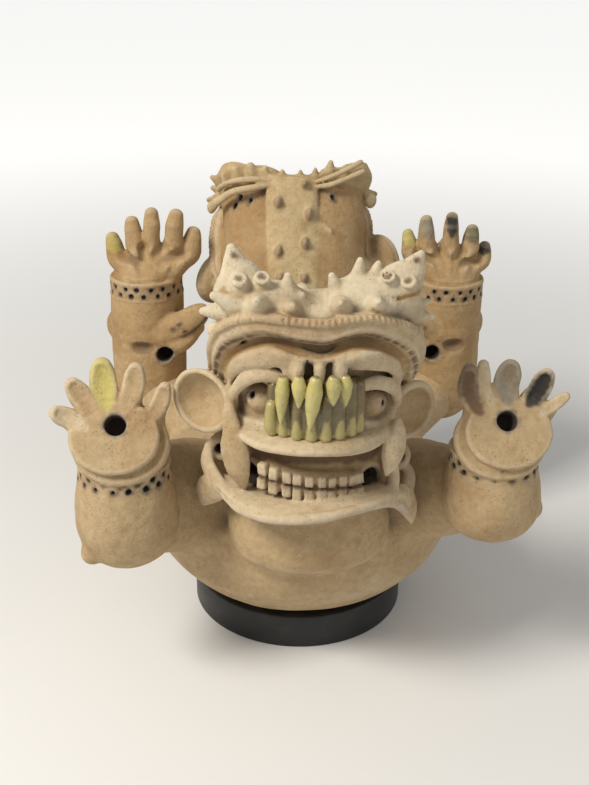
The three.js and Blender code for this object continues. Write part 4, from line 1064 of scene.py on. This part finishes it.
def hand(clay, spec, limb, tone):
    """Wrist that widens into an oblique palm, with its hole and five claws"""
    x, y = spec["x"], limb["y"]
    low, high = spec["cuff"]
    centre = vec(x, -y, 0) + vec(1, -1, 1) * limb["palm"]
    tilt = math.radians(limb["tilt"])
    sideways, normal = vec(1, 0, 0), vec(0, -math.cos(tilt), math.sin(tilt))
    up = vec(0, math.sin(tilt), math.cos(tilt))
    axes = (sideways, up, normal)

    def on_palm(place, depth=0.0):
        return centre + place[0] * sideways + place[1] * up - depth * normal

    over, rise, wide, tall = limb["oval"]
    front = spec["front"]
    core = limb["wrist"] - 4 if front else 28
    wrist = [(low - 4, x, -y, core, core), (high + 5, x, -y, core + 0.5, core + 0.5)]
    clay.add(tower(wrist, low - 2, high + 4), tone, blend=2)
    claws = [[vec(*place) for place in claw[:3]] + list(claw[3:]) for claw in spec["claws"]]
    if front:
        neck = [vec(x, -y, high), vec(x, -y, high + 8), on_palm((over, rise + 4), 14)]
        clay.add(strap(neck, [core, core + 1, 24], [core, core, 11], (0, -1, 0.3), 8), tone, blend=5)
        clay.add(plate(on_palm((over - 4, rise - 3.5), 13), (wide + 2.5, tall + 3), 5.5, 3, axes), tone,
                 blend=2)
        clay.add(plate(on_palm((over - 1, rise - 1), 7), (wide - 2, tall - 2), 4, 1, axes), tone, blend=1)
    else:
        palm = [(low - 4, x, -y, core, core), (high + 3, x, -y, core, core),
                (high + 14, x - 2, -y + 3, core, 21), (high + 26, x - 3, -y + 5, 26, 12)]
        clay.add(tower(palm, low - 2, high + 23), tone, blend=3)
    clay.add(plate(on_palm((over, rise), 3.6), (wide, tall), 3.6, 2.4, axes), tone,
             blend=0.8 if front else 3)
    # Teardrop notches between the claws, open to the back of the hand
    for claw, other in zip(claws, claws[1:]):
        outer = 0.5 * (claw[1] + other[1])
        inner = outer * (20 / np.linalg.norm(outer))
        notch = [on_palm(inner, -2), on_palm(outer, -2), on_palm(outer * 1.3, -2)]
        clay.cut(strap(notch, [3, 4.5, 7], [9, 9, 9], normal), "buff", blend=1.5)
    for root, middle, tip, half, tint, inner in claws:
        end = tip - 0.78 * half * unit(tip - middle)
        if front:
            back = [vec(x + 0.9 * root[0], -y - 4, high + 6), on_palm(0.5 * root + 0.5 * middle, 11),
                    on_palm(0.4 * middle + 0.6 * end, 6)]
            clay.add(strap(back, [8, 8.5, half * 0.7], [8, 7, 3.4], (0, -1, 0.3), 10), tone, blend=3)
        else:
            heel = vec(x + 1.15 * root[0] + 0.5 * over, -y + 15 - abs(root[0]) * 0.4, high)
            back = [heel, on_palm(0.4 * root + 0.6 * middle, 12), on_palm(middle, 8),
                    on_palm(0.3 * middle + 0.7 * end, 4)]
            sizes = [8, half * 1.2, half * 1.2, half * 0.9]
            clay.add(strap(back, sizes, [12, 12, 8, 4.4], (0, 1, 0.1), 12), tone, blend=2.5)
        route = [on_palm(root, 4.2), on_palm(0.5 * root + 0.5 * middle, 4), on_palm(middle, 3.6),
                 on_palm(0.4 * middle + 0.6 * end, 2), on_palm(end, -1)]
        across = unit(normal + 0.012 * root[0] * sideways)
        sizes = [half * share for share in (0.8, 0.95, 1.05, 1.02, 0.78)]
        clay.add(strap(route, sizes, [4.4, 4.6, 5, 4.8, 4], across, 14), tone, blend=1.2)
        clay.paint(strap(route[2:], sizes[2:], 9, across, 8), tint)
        deep = 0.9 if tint == "ochre" else 0.65
        if inner == "charred":
            deep = 1.3
        scoop = [on_palm(0.65 * root + 0.35 * middle, -1.2), on_palm(0.15 * root + 0.85 * middle, -1.6),
                 on_palm(0.45 * middle + 0.55 * end, -4)]
        sizes = [half * share for share in (0.2, 0.85, 0.6)]
        depths = [deep * size for size in (1.6, 5.2, 4.6)]
        clay.cut(strap(scoop, sizes, depths, across, 8), inner, blend=3.5)
    if not front:
        # Grooves down the back of the hand
        for claw, other in zip(claws, claws[1:]):
            web = 0.5 * (claw[1] + other[1])
            groove = [on_palm(1.05 * web, 15), on_palm(0.45 * web, 22),
                      vec(x + 0.35 * web[0] + over, -y + 29, high + 9)]
            clay.cut(strap(groove, [4.2, 3.6, 1.6], steps=8), tone, blend=5)
    # Palm hole, tinted dark as painted shade
    hole = [on_palm((0, 0), -8), on_palm((0, 0), 14 if front else 2)]
    clay.cut(strap(hole, 7.7), "dark", blend=1.2)


def arm_skin(spec, step, seed):
    """One arm in its front-right place"""
    limb = LIMB["front" if spec["front"] else "rear"]
    tone = "buff" if spec["front"] else "tan"
    x, y, top = spec["x"], limb["y"], limb["palm"][2] + 62
    clay = Clay((x - 70, -y - 60, spec["bottom"] - 6), (x + 60, -y + 56, top), step)
    pot(clay, spec, limb, tone)
    cuff(clay, spec, limb, tone)
    hand(clay, spec, limb, tone)
    clay.uneven(26, 0.9, seed)
    clay.uneven(9, 0.4, seed + 1)
    return clay.skin()


# Bowl with its mouth, necks and arms


def body_skin(step):
    clay = Clay((-176, -176, 2), (176, 176, 206), step)
    outside = [(9, 30), (12, 52), (20, 70), (31.2, 83.2), (46, 104), (66, 122), (86, 131.5), (108, 132),
               (124, 127), (138, 106), (146, 74), (150, 30)]
    clay.add(turned(outside, 9, 149), "buff", blend=0)
    for end in (1, -1):
        bulb = [(100, 0, -112 * end, 34, 26), (112, 0, -112 * end, 52, 40), (122, 0, -112 * end, 60, 50),
                (140, 0, -112 * end, 62, 52), (158, 0, -112 * end, 59, 50), (170, 0, -112 * end, 57.5, 48)]
        clay.add(tower(bulb, 102, 168), "buff", blend=9)
        clay.add(ball((0, -128 * end, 138), (40, 34, 26)), "buff", blend=9)
    for x, y, z, r in ((-132, -122, 144, 28), (132, -120, 158, 25), (-132, 122, 146, 29),
                       (136, 122, 146, 29)):
        points = [(0.43 * x, 0.44 * y, 104), (0.72 * x, 0.72 * y, 0.5 * z + 54), (x, y, z)]
        clay.add(strap(points, [34, 31, r], [30, 28, r], (0, 0, 1), steps=10), "buff", blend=12)
    # Shoulders behind the front pots
    for side, rise in ((-1, 0), (1, -4)):
        points = [(side * 66, -62, 142), (side * 98, -86, 160 + rise), (side * 124, -112, 166 + rise)]
        clay.add(strap(points, [34, 31, 25], steps=8), "buff", blend=12)
    # Mouth with a rolled rim
    clay.add(turned([(138, 39), (150, 37.5), (158, 37)], 136, 158), "buff", blend=5)
    rim = [vec(33.5 * math.cos(a), 33.5 * math.sin(a), 157.5) for a in np.linspace(0, 2 * math.pi, 37)]
    clay.add(strap(rim, 4.2), "cream", blend=2)
    # Inside of the bowl tinted brown and of the neck tan, as painted shade
    shifts = [8 if z < 60 else -8 if z > 120 else 0 for z, _ in outside]
    inside = [(z + shift, max(r - 9, 4)) for (z, r), shift in zip(outside, shifts)]
    clay.cut(turned(inside, 17, 142), "brown", blend=3)
    clay.cut(turned([(120, 29.4), (180, 29.4)], 130, 176), "tan", blend=2)
    # Soft fold low on the bowl
    turns = [math.radians(degrees) for degrees in range(-50, 51, 10)]
    fold = [vec(122 * math.sin(t), -122 * math.cos(t), 78 + 5 * math.sin(3 * t)) for t in turns]
    clay.add(strap(fold, 4, 2.5, (0, -0.4, 1)), "buff", blend=7)
    clay.uneven(60, 1.6, 21)
    clay.uneven(20, 0.7, 22)

    # Clear of the ring it stands in
    def around_ring(x, y, z):
        radius = np.sqrt(x**2 + y**2)
        allowed = np.interp(z, [-5, 27, 30, 31.5, 40], [80.2, 80.2, 81.6, 84, 98])
        return np.where(z < 31.5, allowed - radius, FAR)

    clay.cut([(vec(-110, -110, 0), vec(110, 110, 31), around_ring)], blend=0)
    return clay.skin()


# Display ring


def ring_piece(material):
    outline = [(81, 0.6), (81.6, 0), (91.4, 0), (92, 0.6), (92, 28.6), (91.6, 29.6), (90.6, 30), (82.4, 30),
               (81.4, 29.6), (81, 28.6)]
    sides = 160
    points = [(r * math.cos(2 * math.pi * i / sides), r * math.sin(2 * math.pi * i / sides), z)
              for i in range(sides) for r, z in outline]
    n = len(outline)
    faces = [(i * n + j, i * n + (j + 1) % n, (i + 1) % sides * n + (j + 1) % n, (i + 1) % sides * n + j)
             for i in range(sides) for j in range(n)]
    mesh = mesh_from("display_ring", np.array(points, float), np.array(faces)[:, ::-1])
    mesh.materials.append(material)
    made = placed("display_ring", mesh)
    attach(made, "ring")
    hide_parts("support_ring")


def camera():
    data = bpy.data.cameras.new("camera")
    data.sensor_fit = "VERTICAL"
    data.sensor_height = 36.0
    data.lens = CAMERA["pixels"] * data.sensor_height / PHOTO_HEIGHT
    data.clip_start, data.clip_end = 0.05, 80.0
    heading, pitch, roll = (math.radians(CAMERA[k]) for k in ("heading", "pitch", "roll"))
    forward = Vector((math.sin(heading) * math.cos(pitch), math.cos(heading) * math.cos(pitch),
                      -math.sin(pitch)))
    right = Vector((math.cos(heading), -math.sin(heading), 0))
    up = right.cross(forward)
    right, up = right * math.cos(roll) + up * math.sin(roll), up * math.cos(roll) - right * math.sin(roll)
    turn = Matrix((right, up, -forward)).transposed().to_4x4()
    holder = placed("camera", data)
    holder.matrix_world = Matrix.Translation(CAMERA["place"]) @ turn
    bpy.context.scene.camera = holder


def stage():
    """Pale floor that fades to white for the camera away from the object"""
    mesh = bpy.data.meshes.new("floor")
    mesh.from_pydata([(-30, -30, 0), (30, -30, 0), (30, 30, 0), (-30, 30, 0)], [], [(0, 1, 2, 3)])
    floor = placed("floor", mesh)
    look = Look("floor")
    seen = look.node("ShaderNodeLightPath")
    away = look.node("ShaderNodeVectorMath", {"operation": "LENGTH"}, {0: look.places()}, "Value")
    look.glow(look.mix(seen * look.ramp(away, 0.25, 2.2), (0.0, 0.0, 0.0), (0.62, 0.62, 0.61)))
    look.finish((0.80, 0.80, 0.79, 1), 0.7, look.noise(30, 2), 0.00005)
    mesh.materials.append(look.material)


def lamp(name, place, target, size, power, tone):
    data = bpy.data.lights.new(name, "AREA")
    data.size, data.energy, data.color = size, power, tone
    holder = placed(name, data)
    holder.location = place
    holder.rotation_euler = (Vector(target) - Vector(place)).to_track_quat("-Z", "Y").to_euler()


def world(tone, strength, seen):
    """Even light, and a pale tone behind everything for the camera"""
    made = bpy.data.worlds.new("world")
    made.use_nodes = True
    tree = made.node_tree
    light, pale = tree.nodes["Background"], tree.nodes.new("ShaderNodeBackground")
    light.inputs["Color"].default_value = (*tone, 1)
    light.inputs["Strength"].default_value = strength
    pale.inputs["Color"].default_value = (*seen, 1)
    path, choice = tree.nodes.new("ShaderNodeLightPath"), tree.nodes.new("ShaderNodeMixShader")
    tree.links.new(path.outputs["Is Camera Ray"], choice.inputs[0])
    tree.links.new(light.outputs[0], choice.inputs[1])
    tree.links.new(pale.outputs[0], choice.inputs[2])
    tree.links.new(choice.outputs[0], tree.nodes["World Output"].inputs["Surface"])
    bpy.context.scene.world = made


def nodes_of(end, *kinds):
    return [f"{end}_{kind}" for kind in kinds]


# Making

# Cells of the clay grids, in mm
STEP = {"head": 1.2, "teeth": 0.7, "arm": 1.1, "bowl": 2.4}
HEAD_NODES = ("head", "brow_band", "crown", "left_crest_head", "right_crest_head", "upper_jaw", "lower_jaw",
              "left_tusk", "right_tusk", "left_ear_spool", "right_ear_spool")
ARM_NODES = ("limb", "cuff", "hand", "claw_1", "claw_2", "claw_3", "claw_4", "claw_5")

camera()
fired_clay, glaze = clay_look(), glaze_look()
teeth = teeth_skin(STEP["teeth"])
for end, spec in HEADS.items():
    skin = lifted(head_skin(spec, STEP["head"]), spec["lift"])
    nodes = nodes_of(end, *HEAD_NODES)
    piece(f"{end}_head_form", skin, fired_clay, nodes, spec["sides"])
    nodes = nodes_of(end, "tooth_block")
    piece(f"{end}_glazed_teeth", teeth, glaze, nodes, spec["sides"])
for number, (corner, spec) in enumerate(ARMS.items()):
    skin = arm_skin(spec, STEP["arm"], 40 + 3 * number)
    piece(f"{corner}_arm_form", skin, fired_clay, nodes_of(corner, *ARM_NODES), spec["sides"])
piece("bowl_form", body_skin(STEP["bowl"]), fired_clay, ["body"])
ring_piece(ring_look())

stage()
lamp("key", (-1.1, -0.75, 1.5), (0, 0, 0.2), 0.55, 32, (1.0, 0.95, 0.87))
lamp("fill", (1.3, -0.8, 0.9), (0, 0, 0.2), 1.2, 3.5, (1.0, 0.97, 0.94))
world((1.0, 0.99, 0.97), 0.38, (0.93, 0.93, 0.92))
bpy.context.scene.view_settings.view_transform = "Standard"
